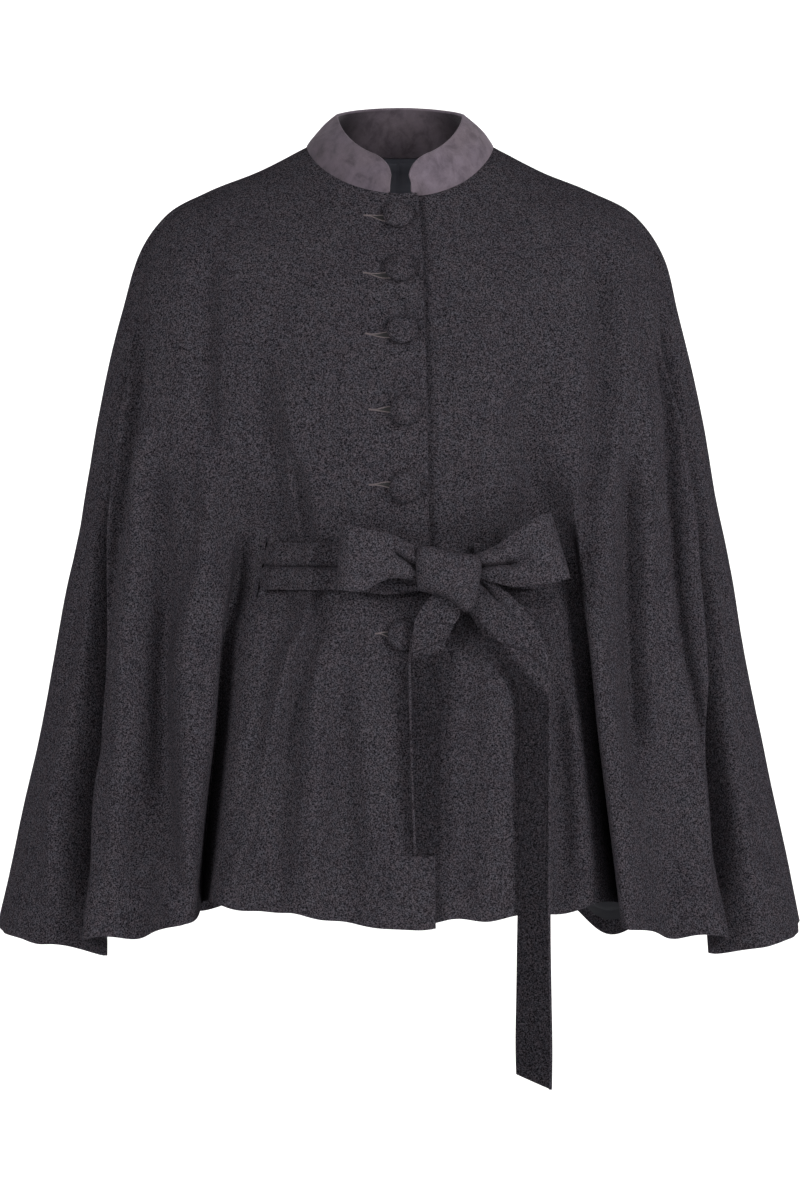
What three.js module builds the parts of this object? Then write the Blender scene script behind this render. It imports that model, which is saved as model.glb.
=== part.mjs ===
import * as THREE from "three";

// Driving sizes in millimetres. +X is the viewer's right, +Y the back, +Z up.
// The origin is the middle of the neck, 5 mm below the neck ends of the shoulder lines.
const CLOTH = 2.4;
const LINING = 1.0;
const SEAM_GAP = 0.4;
const LAP_GAP = 1.6;
const BELT_CLOTH = 2.6;
const BUTTON_RADIUS = 14;
const BUTTON_HEIGHT = 7;
const SIDE_Y = 6;

// One row for each section from the neck seam to the hem. "down" is the share of the way down the cloth, and "sweep"
// how late the section drops from the side to the front: 1 is early, 2 late.
const SECTIONS = [
  { down: 0.0, halfWidth: 87, sideZ: 5, frontY: -62, frontZ: -48, backY: 66, backZ: 7, sweep: 1.25 },
  { down: 0.06, halfWidth: 132, sideZ: -19, frontY: -79, frontZ: -86, backY: 83, backZ: -34, sweep: 1.6 },
  { down: 0.12, halfWidth: 178, sideZ: -38, frontY: -95, frontZ: -127, backY: 97, backZ: -78, sweep: 1.9 },
  { down: 0.175, halfWidth: 216, sideZ: -59, frontY: -107, frontZ: -165, backY: 108, backZ: -120, sweep: 2 },
  { down: 0.235, halfWidth: 243, sideZ: -98, frontY: -118, frontZ: -206, backY: 117, backZ: -166, sweep: 2 },
  { down: 0.31, halfWidth: 258, sideZ: -152, frontY: -127, frontZ: -256, backY: 125, backZ: -222, sweep: 2 },
  { down: 0.42, halfWidth: 280, sideZ: -251, frontY: -122, frontZ: -328, backY: 134, backZ: -304, sweep: 2 },
  { down: 0.5, halfWidth: 293, sideZ: -322, frontY: -110, frontZ: -382, backY: 141, backZ: -364, sweep: 2 },
  { down: 0.6, halfWidth: 308, sideZ: -397, frontY: -116, frontZ: -446, backY: 150, backZ: -436, sweep: 2 },
  { down: 0.75, halfWidth: 329, sideZ: -512, frontY: -133, frontZ: -545, backY: 163, backZ: -541, sweep: 2 },
  { down: 0.88, halfWidth: 351, sideZ: -620, frontY: -144, frontZ: -629, backY: 174, backZ: -626, sweep: 2 },
  { down: 1.0, halfWidth: 372, sideZ: -718, frontY: -150, frontZ: -708, backY: 184, backZ: -706, sweep: 2 },
];

// One row for each hanging fold, from the centre front round by the wearer's right. "hem" and "top" are its angles
// at the hem and on the shoulders. "out", "lean" and "lift" are millimetres at the hem: away from the body,
// round it, and up.
const FOLDS = [
  { hem: 8, top: 8, start: 0.6, width: 3.5, out: -4, lean: 0, lift: 6, grow: 1.0 },
  { hem: 15, top: 15, start: 0.53, width: 4.2, out: 9, lean: 0, lift: 14, grow: 0.8 },
  { hem: 20.3, top: 20.7, start: 0.55, width: 3.2, out: 0, lean: 0, lift: 12, grow: 1.0 },
  { hem: 25.4, top: 26.5, start: 0.5, width: 3.2, out: 10, lean: 4, lift: 21, grow: 0.9 },
  { hem: 29, top: 30.5, start: 0.49, width: 2.8, out: -84, lean: 24, lift: 14, grow: 0.95 },
  { hem: 33, top: 33.5, start: 0.45, width: 3.4, out: 22, lean: -22, lift: 4, grow: 0.85 },
  { hem: 40, top: 46, start: 0.4, width: 2.6, out: -9, lean: 0, lift: -8, grow: 1.0 },
  { hem: 46.2, top: 67, start: 0.2, width: 4, out: 15, lean: 15, lift: -8, grow: 0.75 },
  { hem: 52, top: 73.5, start: 0.2, width: 4, out: -32, lean: -15, lift: -20, grow: 0.75 },
  { hem: 60, top: 78.3, start: 0.3, width: 6, out: 0, lean: 0, lift: -12, grow: 1.0 },
  { hem: 70, top: 82, start: 0.3, width: 9, out: 8, lean: 0, lift: -8, grow: 1.0 },
  { hem: 90, top: 90, start: 0.3, width: 8, out: 0, lean: 0, lift: 4, grow: 1.0 },
  { hem: 106, top: 108, start: 0.3, width: 8, out: -26, lean: 0, lift: 0, grow: 1.1 },
  { hem: 128, top: 130, start: 0.25, width: 9, out: 16, lean: 0, lift: 0, grow: 1.1 },
  { hem: 147, top: 148, start: 0.3, width: 7, out: -26, lean: 0, lift: -8, grow: 1.1 },
  { hem: 165, top: 164, start: 0.25, width: 8, out: 14, lean: 0, lift: 0, grow: 1.1 },
  { hem: 182, top: 181, start: 0.35, width: 7, out: -22, lean: 0, lift: 0, grow: 1.1 },
  { hem: 198, top: 197, start: 0.25, width: 8, out: 15, lean: 0, lift: 0, grow: 1.1 },
  { hem: 215, top: 214, start: 0.3, width: 7, out: -25, lean: 0, lift: -30, grow: 1.1 },
  { hem: 234, top: 232, start: 0.25, width: 9, out: 15, lean: 0, lift: 0, grow: 1.1 },
  { hem: 255, top: 253, start: 0.3, width: 8, out: -24, lean: 0, lift: 0, grow: 1.1 },
  { hem: 270, top: 270, start: 0.3, width: 8, out: 0, lean: 0, lift: 4, grow: 1.0 },
  { hem: 290, top: 278, start: 0.3, width: 9, out: 8, lean: 0, lift: -10, grow: 1.0 },
  { hem: 300, top: 281.7, start: 0.3, width: 6.5, out: 0, lean: 0, lift: -14, grow: 1.0 },
  { hem: 306, top: 287, start: 0.2, width: 4, out: -30, lean: 15, lift: -22, grow: 0.75 },
  { hem: 312, top: 293.5, start: 0.2, width: 4, out: 15, lean: -15, lift: -6, grow: 0.75 },
  { hem: 318.5, top: 314, start: 0.4, width: 2.6, out: -9, lean: 0, lift: -8, grow: 1.0 },
  { hem: 326, top: 325, start: 0.45, width: 3.4, out: 24, lean: 16, lift: 0, grow: 0.85 },
  { hem: 330.3, top: 329.5, start: 0.47, width: 2.3, out: -84, lean: -40, lift: 14, grow: 0.95 },
  { hem: 334, top: 333.5, start: 0.5, width: 3.2, out: -8, lean: -20, lift: 23, grow: 0.9 },
  { hem: 339.5, top: 339.4, start: 0.55, width: 3.4, out: 0, lean: 0, lift: 9, grow: 1.0 },
  { hem: 344, top: 344, start: 0.53, width: 4.2, out: 8, lean: 0, lift: 11, grow: 0.8 },
  { hem: 352, top: 352, start: 0.6, width: 3.5, out: -4, lean: 0, lift: 8, grow: 1.0 },
];

// One row for each place where the belt draws the cloth in, or fullness swells beside it.
const DENTS = [
  { hem: 24.5, down: 0.51, wide: 7.5, high: 0.075, out: -24 },
  { hem: 335.5, down: 0.51, wide: 7.5, high: 0.075, out: -24 },
  { hem: 42, down: 0.44, wide: 12, high: 0.14, out: 10 },
  { hem: 318, down: 0.44, wide: 12, high: 0.14, out: 10 },
];

const radians = (degrees) => (degrees * Math.PI) / 180;
const clamp = (value, low, high) => Math.min(high, Math.max(low, value));
const smooth = (value) => {
  const s = clamp(value, 0, 1);
  return s * s * (3 - 2 * s);
};
const steps = (count, from, to) => Array.from({ length: count + 1 }, (_, i) => from + ((to - from) * i) / count);
const turn = (degrees) => ((((degrees + 180) % 360) + 360) % 360) - 180;

// Smooth value of one column of a table at "at" along the key column.
function column(table, key, name, at) {
  const last = table.length - 1;
  let i = 0;
  while (i < last - 1 && at > table[i + 1][key]) i += 1;
  const slope = (k) => {
    const low = table[Math.max(0, k - 1)];
    const high = table[Math.min(last, k + 1)];
    return (high[name] - low[name]) / (high[key] - low[key]);
  };
  const span = table[i + 1][key] - table[i][key];
  const s = (at - table[i][key]) / span;
  const [a, b] = [table[i][name], table[i + 1][name]];
  const [m, n] = [slope(i) * span, slope(i + 1) * span];
  const s2 = s * s;
  const s3 = s2 * s;
  return (2 * s3 - 3 * s2 + 1) * a + (s3 - 2 * s2 + s) * m + (3 * s2 - 2 * s3) * b + (s3 - s2) * n;
}

const section = (name, down) => column(SECTIONS, "down", name, down);

// A point on a ring given by a row of half width, side, front and back sizes.
function ringPoint(angle, size) {
  const s = Math.sin(radians(angle));
  const c = Math.cos(radians(angle));
  const endY = c > 0 ? size("frontY") : size("backY");
  const endZ = c > 0 ? size("frontZ") : size("backZ");
  const sideZ = size("sideZ");
  return new THREE.Vector3(
    -size("halfWidth") * s,
    SIDE_Y + (endY - SIDE_Y) * Math.abs(c),
    sideZ + (endZ - sideZ) * Math.abs(c) ** size("sweep"),
  );
}

const plainPoint = (angle, down) => ringPoint(angle, (name) => section(name, down));

function frameOf(pointAt, u, v, du, dv) {
  const across = pointAt(u + du, v).sub(pointAt(u - du, v)).normalize();
  const along = pointAt(u, v + dv).sub(pointAt(u, v - dv)).normalize();
  const out = new THREE.Vector3().crossVectors(across, along).normalize();
  return { across, along, out };
}

// Angle on the plain form of the line that meets the hem at "hem": folds and columns run along these lines.
function angleOf(hem, down) {
  const round = ((hem % 360) + 360) % 360;
  const rows = [{ hem: 0, top: 0 }, ...FOLDS, { hem: 360, top: 360 }];
  let i = 0;
  while (round > rows[i + 1].hem) i += 1;
  const share = smooth((round - rows[i].hem) / (rows[i + 1].hem - rows[i].hem));
  const low = rows[i].top - rows[i].hem;
  const high = rows[i + 1].top - rows[i + 1].hem;
  return hem + (low + (high - low) * share) * (1 - clamp((down - 0.2) / 0.8, 0, 1.05));
}

const linePoint = (hem, down) => plainPoint(angleOf(hem, down), down);

// The draped cape: the plain form with every fold and dent added.
function capePoint(hem, down) {
  const point = linePoint(hem, down);
  let [out, lean, lift] = [0, 0, 0];
  for (const fold of FOLDS) {
    const way = (down - fold.start) / (1 - fold.start);
    const x = turn(hem - fold.hem) / fold.width;
    if (way <= 0 || Math.abs(x) > 3.2) continue;
    const shape = Math.exp(-x * x) * way ** fold.grow;
    out += fold.out * shape;
    lean += fold.lean * Math.exp(-x * x) * Math.sqrt(way);
    lift += fold.lift * shape * way;
  }
  for (const dent of DENTS) {
    const x = turn(hem - dent.hem) / dent.wide;
    const y = (down - dent.down) / dent.high;
    out += dent.out * Math.exp(-x * x - y * y);
  }
  const frame = frameOf(linePoint, hem, down, 0.5, 0.004);
  point.addScaledVector(frame.out, out).addScaledVector(frame.across, lean);
  point.z += lift;
  return point;
}

const capeOut = (hem, down) => frameOf(capePoint, hem, down, 0.25, 0.003).out;

// The line and share down at which the front of the cape lies at (x, z).
function frontAt(x, z) {
  let down = clamp((-z - 48) / 660, 0.01, 1);
  let hem = 0;
  for (let i = 0; i < 60; i += 1) {
    const here = capePoint(hem, down);
    hem += clamp((here.x - x) / 6, -2, 2);
    down += clamp((here.z - z) / 800, -0.05, 0.05);
  }
  return { hem, down };
}

// Outer face of the front at (x, z), moved out by "off".
function onFront(x, z, off) {
  const { hem, down } = frontAt(x, clamp(z, -690, -60));
  return new THREE.Vector3(x, capePoint(hem, down).y - off, z);
}

// As onFront, but clear of the cloth behind a flat piece of the given half width and half height.
function overFront(x, z, halfX, halfZ, off) {
  const spots = [-1, 0, 1].flatMap((i) => [-1, 0, 1].map((k) => onFront(x + i * halfX, z + k * halfZ, off).y));
  return new THREE.Vector3(x, Math.min(...spots), z);
}

// A closed wall between an outer and an inner grid of points. "open" leaves out single cells.
function wall(outer, inner, open = () => false) {
  const rows = outer.length;
  const cols = outer[0].length;
  const positions = [];
  for (const grid of [outer, inner]) for (const row of grid) for (const p of row) positions.push(p.x, p.y, p.z);
  const at = (side, r, c) => side * rows * cols + r * cols + c;
  const index = [];
  const solid = (r, c) => r >= 0 && c >= 0 && r < rows - 1 && c < cols - 1 && !open(r, c);
  const quad = (a, b, c, d) => index.push(a, b, c, a, c, d);
  const rim = (a, b) => quad(at(0, ...b), at(0, ...a), at(1, ...a), at(1, ...b));
  for (let r = 0; r < rows - 1; r += 1) {
    for (let c = 0; c < cols - 1; c += 1) {
      if (!solid(r, c)) continue;
      quad(at(0, r, c), at(0, r + 1, c), at(0, r + 1, c + 1), at(0, r, c + 1));
      quad(at(1, r, c), at(1, r, c + 1), at(1, r + 1, c + 1), at(1, r + 1, c));
      if (!solid(r, c - 1)) rim([r, c], [r + 1, c]);
      if (!solid(r + 1, c)) rim([r + 1, c], [r + 1, c + 1]);
      if (!solid(r, c + 1)) rim([r + 1, c + 1], [r, c + 1]);
      if (!solid(r - 1, c)) rim([r, c + 1], [r, c]);
    }
  }
  return closed(positions, index);
}

// Geometry from points and triangles, turned so that its faces look outward.
function closed(positions, index) {
  let volume = 0;
  const [a, b, c] = [new THREE.Vector3(), new THREE.Vector3(), new THREE.Vector3()];
  for (let i = 0; i < index.length; i += 3) {
    a.fromArray(positions, index[i] * 3);
    b.fromArray(positions, index[i + 1] * 3);
    c.fromArray(positions, index[i + 2] * 3);
    volume += a.dot(b.cross(c));
  }
  if (volume < 0) index.reverse();
  const geometry = new THREE.BufferGeometry();
  geometry.setAttribute("position", new THREE.Float32BufferAttribute(positions, 3));
  geometry.setIndex(index);
  geometry.computeVertexNormals();
  return geometry;
}

const group = new THREE.Group();
group.name = "cape_coat";
const wool = new THREE.MeshStandardMaterial({ color: 0x3b393d, roughness: 0.95 });
const suede = new THREE.MeshStandardMaterial({ color: 0x6a6168, roughness: 0.9 });
const satin = new THREE.MeshStandardMaterial({ color: 0x1c1e26, roughness: 0.55 });

function add(name, geometry, material) {
  const mesh = new THREE.Mesh(geometry, material);
  mesh.name = name;
  group.add(mesh);
}

// Angles from "from" to "to" in even steps along the folded cloth, so that deep folds get more columns.
function spread(from, to, count) {
  const fine = steps(600, from, to);
  const far = [0];
  for (let i = 1; i < fine.length; i += 1) {
    let length = 0;
    for (const down of [0.3, 0.8, 1]) {
      length += capePoint(fine[i], down).distanceTo(capePoint(fine[i - 1], down));
    }
    far.push(far[i - 1] + length);
  }
  const total = far[far.length - 1];
  return steps(count, 0, total).map((goal) => {
    let i = 1;
    while (i < fine.length - 1 && far[i] < goal) i += 1;
    const s = clamp((goal - far[i - 1]) / (far[i] - far[i - 1]), 0, 1);
    return fine[i - 1] + (fine[i] - fine[i - 1]) * s;
  });
}

const SLIT = { x: 124, top: -365, bottom: -411, lip: 1.25 };
const EDGE = { top: 15, hem: 31, under: -24 };
const slitTop = frontAt(-SLIT.x, SLIT.top);
const slitBottom = frontAt(-SLIT.x, SLIT.bottom);
const slitHem = (slitTop.hem + slitBottom.hem) / 2;
const ROWS = [
  ...steps(7, 0, 0.21),
  0.26, 0.32, 0.38, 0.43,
  slitTop.down,
  (slitTop.down + slitBottom.down) / 2,
  slitBottom.down,
  ...steps(8, slitBottom.down + 0.045, 0.945),
  1,
];

const edgeAngle = (x, down) => (-Math.asin(x / section("halfWidth", down)) * 180) / Math.PI;
const lapEdge = (down) => edgeAngle(EDGE.top + (EDGE.hem - EDGE.top) * Math.sqrt(down), down);
const underEdge = (down) => edgeAngle(EDGE.under, down);

// Columns of one front from its free edge to the side seam, with a lip each side of the belt slit.
function frontColumns(sign) {
  const lips = [slitHem - SLIT.lip, slitHem + SLIT.lip];
  const near = spread(0, sign * lips[0], 6);
  const far = spread(sign * lips[1], sign * 90, 22);
  return { angles: [...near, ...far], lip: near.length - 1 };
}

function frontPanel(name, sign, edge, sunk) {
  const { angles, lip } = frontColumns(sign);
  const first = sign * 9;
  const outer = [];
  const inner = [];
  for (const down of ROWS) {
    const outerRow = [];
    const innerRow = [];
    angles.forEach((angle, i) => {
      const free = edge(down);
      const share = clamp(1 - (sign * angle) / (sign * angles[6]), 0, 1);
      const here = angle + free * share;
      const out = capeOut(here, down);
      const point = capePoint(here, down).addScaledVector(out, -sunk(here, down));
      if (i === angles.length - 1) {
        point.addScaledVector(frameOf(capePoint, here, down, 0.25, 0.003).across, (-sign * SEAM_GAP) / 2);
      }
      outerRow.push(point);
      innerRow.push(point.clone().addScaledVector(out, -CLOTH));
    });
    outer.push(outerRow);
    inner.push(innerRow);
  }
  const top = ROWS.indexOf(slitTop.down);
  add(name, wall(outer, inner, (r, c) => c === lip && r >= top && r < top + 2), wool);
}

frontPanel("right_front", 1, lapEdge, () => 0);
frontPanel("left_front", -1, underEdge, (angle, down) => {
  const x = capePoint(angle, down).x;
  return (CLOTH + LAP_GAP) * (1 - smooth((x - 40) / 60));
});

// A wall that follows the cape between two angles, "sunk" below its outer face.
function capeWall(name, angles, rows, sunk, thick, material) {
  const grid = (depth) =>
    rows.map((down) =>
      angles.map((angle, i) => {
        const frame = frameOf(capePoint, angle, down, 0.25, 0.003);
        const point = capePoint(angle, down).addScaledVector(frame.out, -depth);
        if (i === 0) point.addScaledVector(frame.across, SEAM_GAP / 2);
        if (i === angles.length - 1) point.addScaledVector(frame.across, -SEAM_GAP / 2);
        return point;
      }),
    );
  add(name, wall(grid(sunk), grid(sunk + thick)), material);
}

const BACK = spread(90, 270, 36);
capeWall("back", BACK, ROWS, 0, CLOTH, wool);
const LINING_ROWS = ROWS.filter((down, i) => i > 0 && down < 0.95);
capeWall("back_lining", BACK.slice(1, -1), LINING_ROWS, CLOTH + 0.6, LINING, satin);

// Stand collar: from the neck seam to a smaller ring above it, with rounded front ends.
const COLLAR_TOP = { halfWidth: 60, sideZ: 34, frontY: -54, frontZ: -16, backY: 54, backZ: 47, sweep: 1.18 };
const COLLAR = { wall: 2.4, rise: 0.5, corner: 26, end: 0.5, left: 7, right: 352.5 };

function collarPoint(angle, up) {
  const low = plainPoint(angle, 0);
  const high = ringPoint(angle, (name) => COLLAR_TOP[name]);
  const nearest = Math.min(angle - COLLAR.left, COLLAR.right - angle) * 1.45;
  const round = 1 - clamp(nearest / COLLAR.corner, 0, 1);
  const tall = COLLAR.end + (1 - COLLAR.end) * Math.sqrt(1 - round * round);
  const way = high.clone().sub(low);
  const share = COLLAR.rise / way.length() + up * tall;
  const swell = 3.2 * Math.sin(Math.PI * clamp(share, 0, 1));
  const outward = new THREE.Vector3(low.x, low.y, 0).normalize();
  return low.addScaledVector(way, share).addScaledVector(outward, swell);
}

{
  const angles = [...steps(8, COLLAR.left, 28), ...steps(22, 38, 322), ...steps(8, 331.5, COLLAR.right)];
  const grid = (depth) =>
    steps(5, 0, 1).map((up) =>
      angles.map((angle) => {
        const here = clamp(angle, COLLAR.left + 0.3, COLLAR.right - 0.3);
        const out = frameOf(collarPoint, here, up, 0.2, 0.02).out;
        return collarPoint(angle, up).addScaledVector(out, depth);
      }),
    );
  add("collar", wall(grid(0), grid(COLLAR.wall)), suede);
}

// Covered buttons down the lap, top first.
const BUTTONS = [
  { x: -1.5, z: -70 },
  { x: 0, z: -120 },
  { x: 2, z: -177 },
  { x: 5, z: -249 },
  { x: 4.5, z: -318 },
  { x: 3, z: -450 },
];
BUTTONS.forEach(({ x, z }, i) => {
  const profile = [
    [0, 0], [0.72, 0], [0.97, 0.2], [1, 0.42], [0.9, 0.66], [0.62, 0.89], [0.3, 0.98], [0, 1],
  ].map(([r, h]) => new THREE.Vector2(r * BUTTON_RADIUS, h * BUTTON_HEIGHT));
  const geometry = new THREE.LatheGeometry(profile, 18);
  const { hem, down } = frontAt(x, z);
  const out = capeOut(hem, down);
  const turnTo = new THREE.Quaternion().setFromUnitVectors(new THREE.Vector3(0, 1, 0), out);
  geometry.applyQuaternion(turnTo);
  const seat = capePoint(hem, down).addScaledVector(out, 0.9);
  geometry.translate(seat.x, seat.y, seat.z);
  add(`button_${i + 1}`, geometry, wool);
});

// A strip of belt cloth through a list of stations, each with its middle, its across direction and its width.
function strip(stations, thick, face = [[-0.5, 0], [0.5, 0]]) {
  const heel = face.length > 2 ? [[0, -0.5]] : [];
  const ring = [...heel, [-0.5, -0.5], ...face.map(([w, d]) => [w, 0.5 - d]), [0.5, -0.5]];
  const positions = [];
  stations.forEach((here, i) => {
    const ahead = stations[Math.min(stations.length - 1, i + 1)].mid;
    const behind = stations[Math.max(0, i - 1)].mid;
    const along = ahead.clone().sub(behind).normalize();
    const across = here.across.clone();
    const out = new THREE.Vector3().crossVectors(across, along).normalize();
    for (const [w, d] of ring) {
      const p = here.mid.clone().addScaledVector(across, w * here.width).addScaledVector(out, d * thick);
      positions.push(p.x, p.y, p.z);
    }
  });
  const n = ring.length;
  const index = [];
  for (let i = 0; i < stations.length - 1; i += 1) {
    for (let k = 0; k < n; k += 1) {
      const [a, b] = [i * n + k, i * n + ((k + 1) % n)];
      index.push(a, b, b + n, a, b + n, a + n);
    }
  }
  const end = (stations.length - 1) * n;
  for (let k = 1; k < n - 1; k += 1) {
    index.push(0, k + 1, k);
    index.push(end, end + k, end + k + 1);
  }
  return closed(positions, index);
}

// Stations along a smooth curve through the rows of a table.
function stationsOf(rows, count) {
  const keyed = rows.map((row, i) => ({ ...row, i }));
  return steps(count, 0, rows.length - 1).map((t) => {
    const at = (name) => column(keyed, "i", name, t);
    return {
      mid: new THREE.Vector3(at("x"), at("y"), at("z")),
      across: new THREE.Vector3(at("tiltX"), 0, at("tiltZ")).normalize(),
      width: at("width"),
    };
  });
}

// Belt: two stretches on the front that pass in through the slits, and one inside round the waist.
const BELT = { z: -388, width: 42, groove: [[-0.5, 0], [-0.06, 0], [0, 0.5], [0.06, 0], [0.5, 0]] };
function beltFront(name, sign, from) {
  const seat = 1.4 + BELT_CLOTH / 2;
  const lie = steps(8, from, sign * (SLIT.x - 11)).map((x) => overFront(x, BELT.z, 0, BELT.width / 2, seat));
  const hole = onFront(sign * SLIT.x, BELT.z, -CLOTH / 2);
  const dive = [[-6, -9.7], [-2, -4.2], [0.5, 2.3], [3.5, 11.3], [8, 22]].map(
    ([x, y]) => new THREE.Vector3(sign * (SLIT.x + x), hole.y + y, BELT.z),
  );
  const curve = new THREE.CatmullRomCurve3([...lie, ...dive], false, "centripetal");
  const stations = curve.getPoints(28).map((mid) => {
    const tilt = smooth((sign * mid.x - 70) / 45);
    const across = new THREE.Vector3(-0.14 * sign * tilt, 0.17 * tilt, 1).normalize();
    return { mid, across, width: BELT.width };
  });
  add(name, strip(stations, BELT_CLOTH, sign < 0 ? BELT.groove : undefined), wool);
  return stations[stations.length - 1];
}
const { mid: rightEnd } = beltFront("belt_right", -1, 14);
const { mid: leftEnd } = beltFront("belt_left", 1, 76);
{
  const stations = steps(26, 0, 1).map((t) => {
    const bend = Math.sin(Math.PI * t);
    const tilt = 1 - smooth(bend / 0.5);
    const x = rightEnd.x * Math.cos(Math.PI * t);
    const endY = rightEnd.y + (leftEnd.y - rightEnd.y) * t + 0.6;
    const mid = new THREE.Vector3(x, endY + (104 - endY) * bend ** 0.8, BELT.z + 8 * bend);
    const across = new THREE.Vector3(0.14 * Math.sign(-x) * tilt, 0.17 * tilt, 1).normalize();
    return { mid, across, width: BELT.width };
  });
  add("belt_back", strip(stations, BELT_CLOTH), wool);
}

// Bow loops: a row for each place round the loop, from the front of the knot to the back of it.
const LOOP_RIGHT = [
  { x: 11.6, y: -134, z: -388, tiltX: 0, tiltZ: 1, width: 29 },
  { x: -12, y: -143, z: -384, tiltX: 0.06, tiltZ: 1, width: 41 },
  { x: -40, y: -144, z: -381, tiltX: 0.1, tiltZ: 1, width: 54 },
  { x: -51, y: -137, z: -380, tiltX: 0.1, tiltZ: 1, width: 57 },
  { x: -50, y: -128, z: -380, tiltX: 0.1, tiltZ: 1, width: 57 },
  { x: -36, y: -122, z: -383, tiltX: 0.08, tiltZ: 1, width: 52 },
  { x: -10, y: -120, z: -391, tiltX: 0.05, tiltZ: 1, width: 40 },
  { x: 11.6, y: -121, z: -394, tiltX: 0, tiltZ: 1, width: 29 },
];
const LOOP_LEFT = [
  { x: 73.6, y: -133, z: -388, tiltX: 0, tiltZ: 1, width: 20 },
  { x: 98, y: -142, z: -384, tiltX: -0.1, tiltZ: 1, width: 44 },
  { x: 128, y: -141, z: -374, tiltX: -0.26, tiltZ: 1, width: 58 },
  { x: 140, y: -133, z: -370, tiltX: -0.3, tiltZ: 1, width: 60 },
  { x: 138, y: -124, z: -370, tiltX: -0.3, tiltZ: 1, width: 60 },
  { x: 126, y: -118, z: -375, tiltX: -0.24, tiltZ: 1, width: 56 },
  { x: 100, y: -117, z: -386, tiltX: -0.1, tiltZ: 1, width: 42 },
  { x: 73.6, y: -120, z: -391, tiltX: 0, tiltZ: 1, width: 26 },
];
add("bow_loop_right", strip(stationsOf(LOOP_RIGHT, 28), BELT_CLOTH), wool);
add("bow_loop_left", strip(stationsOf(LOOP_LEFT, 28), BELT_CLOTH), wool);

// The knot: a pillow of wrapped belt. One row for each place round its outline, seen from the front.
const KNOT = { x: 45, z: -399, y: -132, deep: 15, pillow: 0.62 };
const KNOT_OUTLINE = [
  { x: 15, z: -376 },
  { x: 42, z: -374 },
  { x: 71, z: -381 },
  { x: 72, z: -402 },
  { x: 65, z: -422 },
  { x: 53, z: -428 },
  { x: 34, z: -419 },
  { x: 16, z: -407 },
];
{
  const loop = new THREE.CatmullRomCurve3(
    KNOT_OUTLINE.map(({ x, z }) => new THREE.Vector3(x - KNOT.x, 0, z - KNOT.z)),
    true,
    "centripetal",
  );
  const round = loop.getPoints(28).slice(0, -1);
  const rings = steps(10, -1, 1).slice(1, -1);
  const positions = [];
  for (const level of rings) {
    const share = (1 - Math.abs(level) ** 2.4) ** KNOT.pillow;
    for (const p of round) positions.push(KNOT.x + p.x * share, KNOT.y - KNOT.deep * level, KNOT.z + p.z * share);
  }
  const count = round.length;
  const index = [];
  for (let r = 0; r < rings.length - 1; r += 1) {
    for (let k = 0; k < count; k += 1) {
      const [a, b] = [r * count + k, r * count + ((k + 1) % count)];
      index.push(a, b, b + count, a, b + count, a + count);
    }
  }
  const ends = rings.length * count;
  positions.push(KNOT.x, KNOT.y + KNOT.deep, KNOT.z, KNOT.x, KNOT.y - KNOT.deep, KNOT.z);
  for (let k = 0; k < count; k += 1) {
    const next = (k + 1) % count;
    index.push(ends, next, k);
    index.push(ends + 1, ends - count + k, ends - count + next);
  }
  add("bow_knot", closed(positions, index), wool);
}

// Belt ends: a row for each place down the tail. "off" is how far the tail lies out from the front.
const TAIL_SHORT = [
  { x: 36, z: -430, width: 33, off: 12, tiltX: 1, tiltZ: -0.2 },
  { x: 31, z: -440, width: 36, off: 10, tiltX: 1, tiltZ: 0.12 },
  { x: 25, z: -458, width: 31, off: 7, tiltX: 1, tiltZ: 0.24 },
  { x: 22.6, z: -478, width: 29, off: 4.6, tiltX: 1, tiltZ: 0.08 },
  { x: 22.6, z: -526, width: 27, off: 3.6, tiltX: 1, tiltZ: 0 },
  { x: 23, z: -580, width: 25, off: 3.4, tiltX: 1, tiltZ: 0 },
  { x: 24, z: -641, width: 22, off: 3.4, tiltX: 1, tiltZ: 0 },
];
const TAIL_LONG = [
  { x: 78, z: -422, width: 35, off: 12, tiltX: 0.8, tiltZ: 0.58 },
  { x: 96, z: -444, width: 42, off: 11, tiltX: 0.85, tiltZ: 0.52 },
  { x: 112, z: -470, width: 38, off: 10, tiltX: 0.95, tiltZ: 0.34 },
  { x: 119, z: -504, width: 28, off: 8, tiltX: 1, tiltZ: 0.1 },
  { x: 119, z: -560, width: 27, off: 6, tiltX: 1, tiltZ: 0 },
  { x: 118, z: -640, width: 27, off: 5, tiltX: 1, tiltZ: 0 },
  { x: 117, z: -710, width: 28, off: 5, tiltX: 1, tiltZ: 0 },
  { x: 117, z: -780, width: 30, off: 5, tiltX: 1, tiltZ: 0 },
  { x: 117, z: -841, width: 33, off: 5, tiltX: 1, tiltZ: -0.45 },
];
for (const [name, rows] of [["belt_tail_short", TAIL_SHORT], ["belt_tail_long", TAIL_LONG]]) {
  const placed = rows.map((row) => ({ ...row, y: overFront(row.x, row.z, row.width / 2, 12, row.off).y }));
  add(name, strip(stationsOf(placed, 26), 3.2), wool);
}

export default group;
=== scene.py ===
import math

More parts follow.
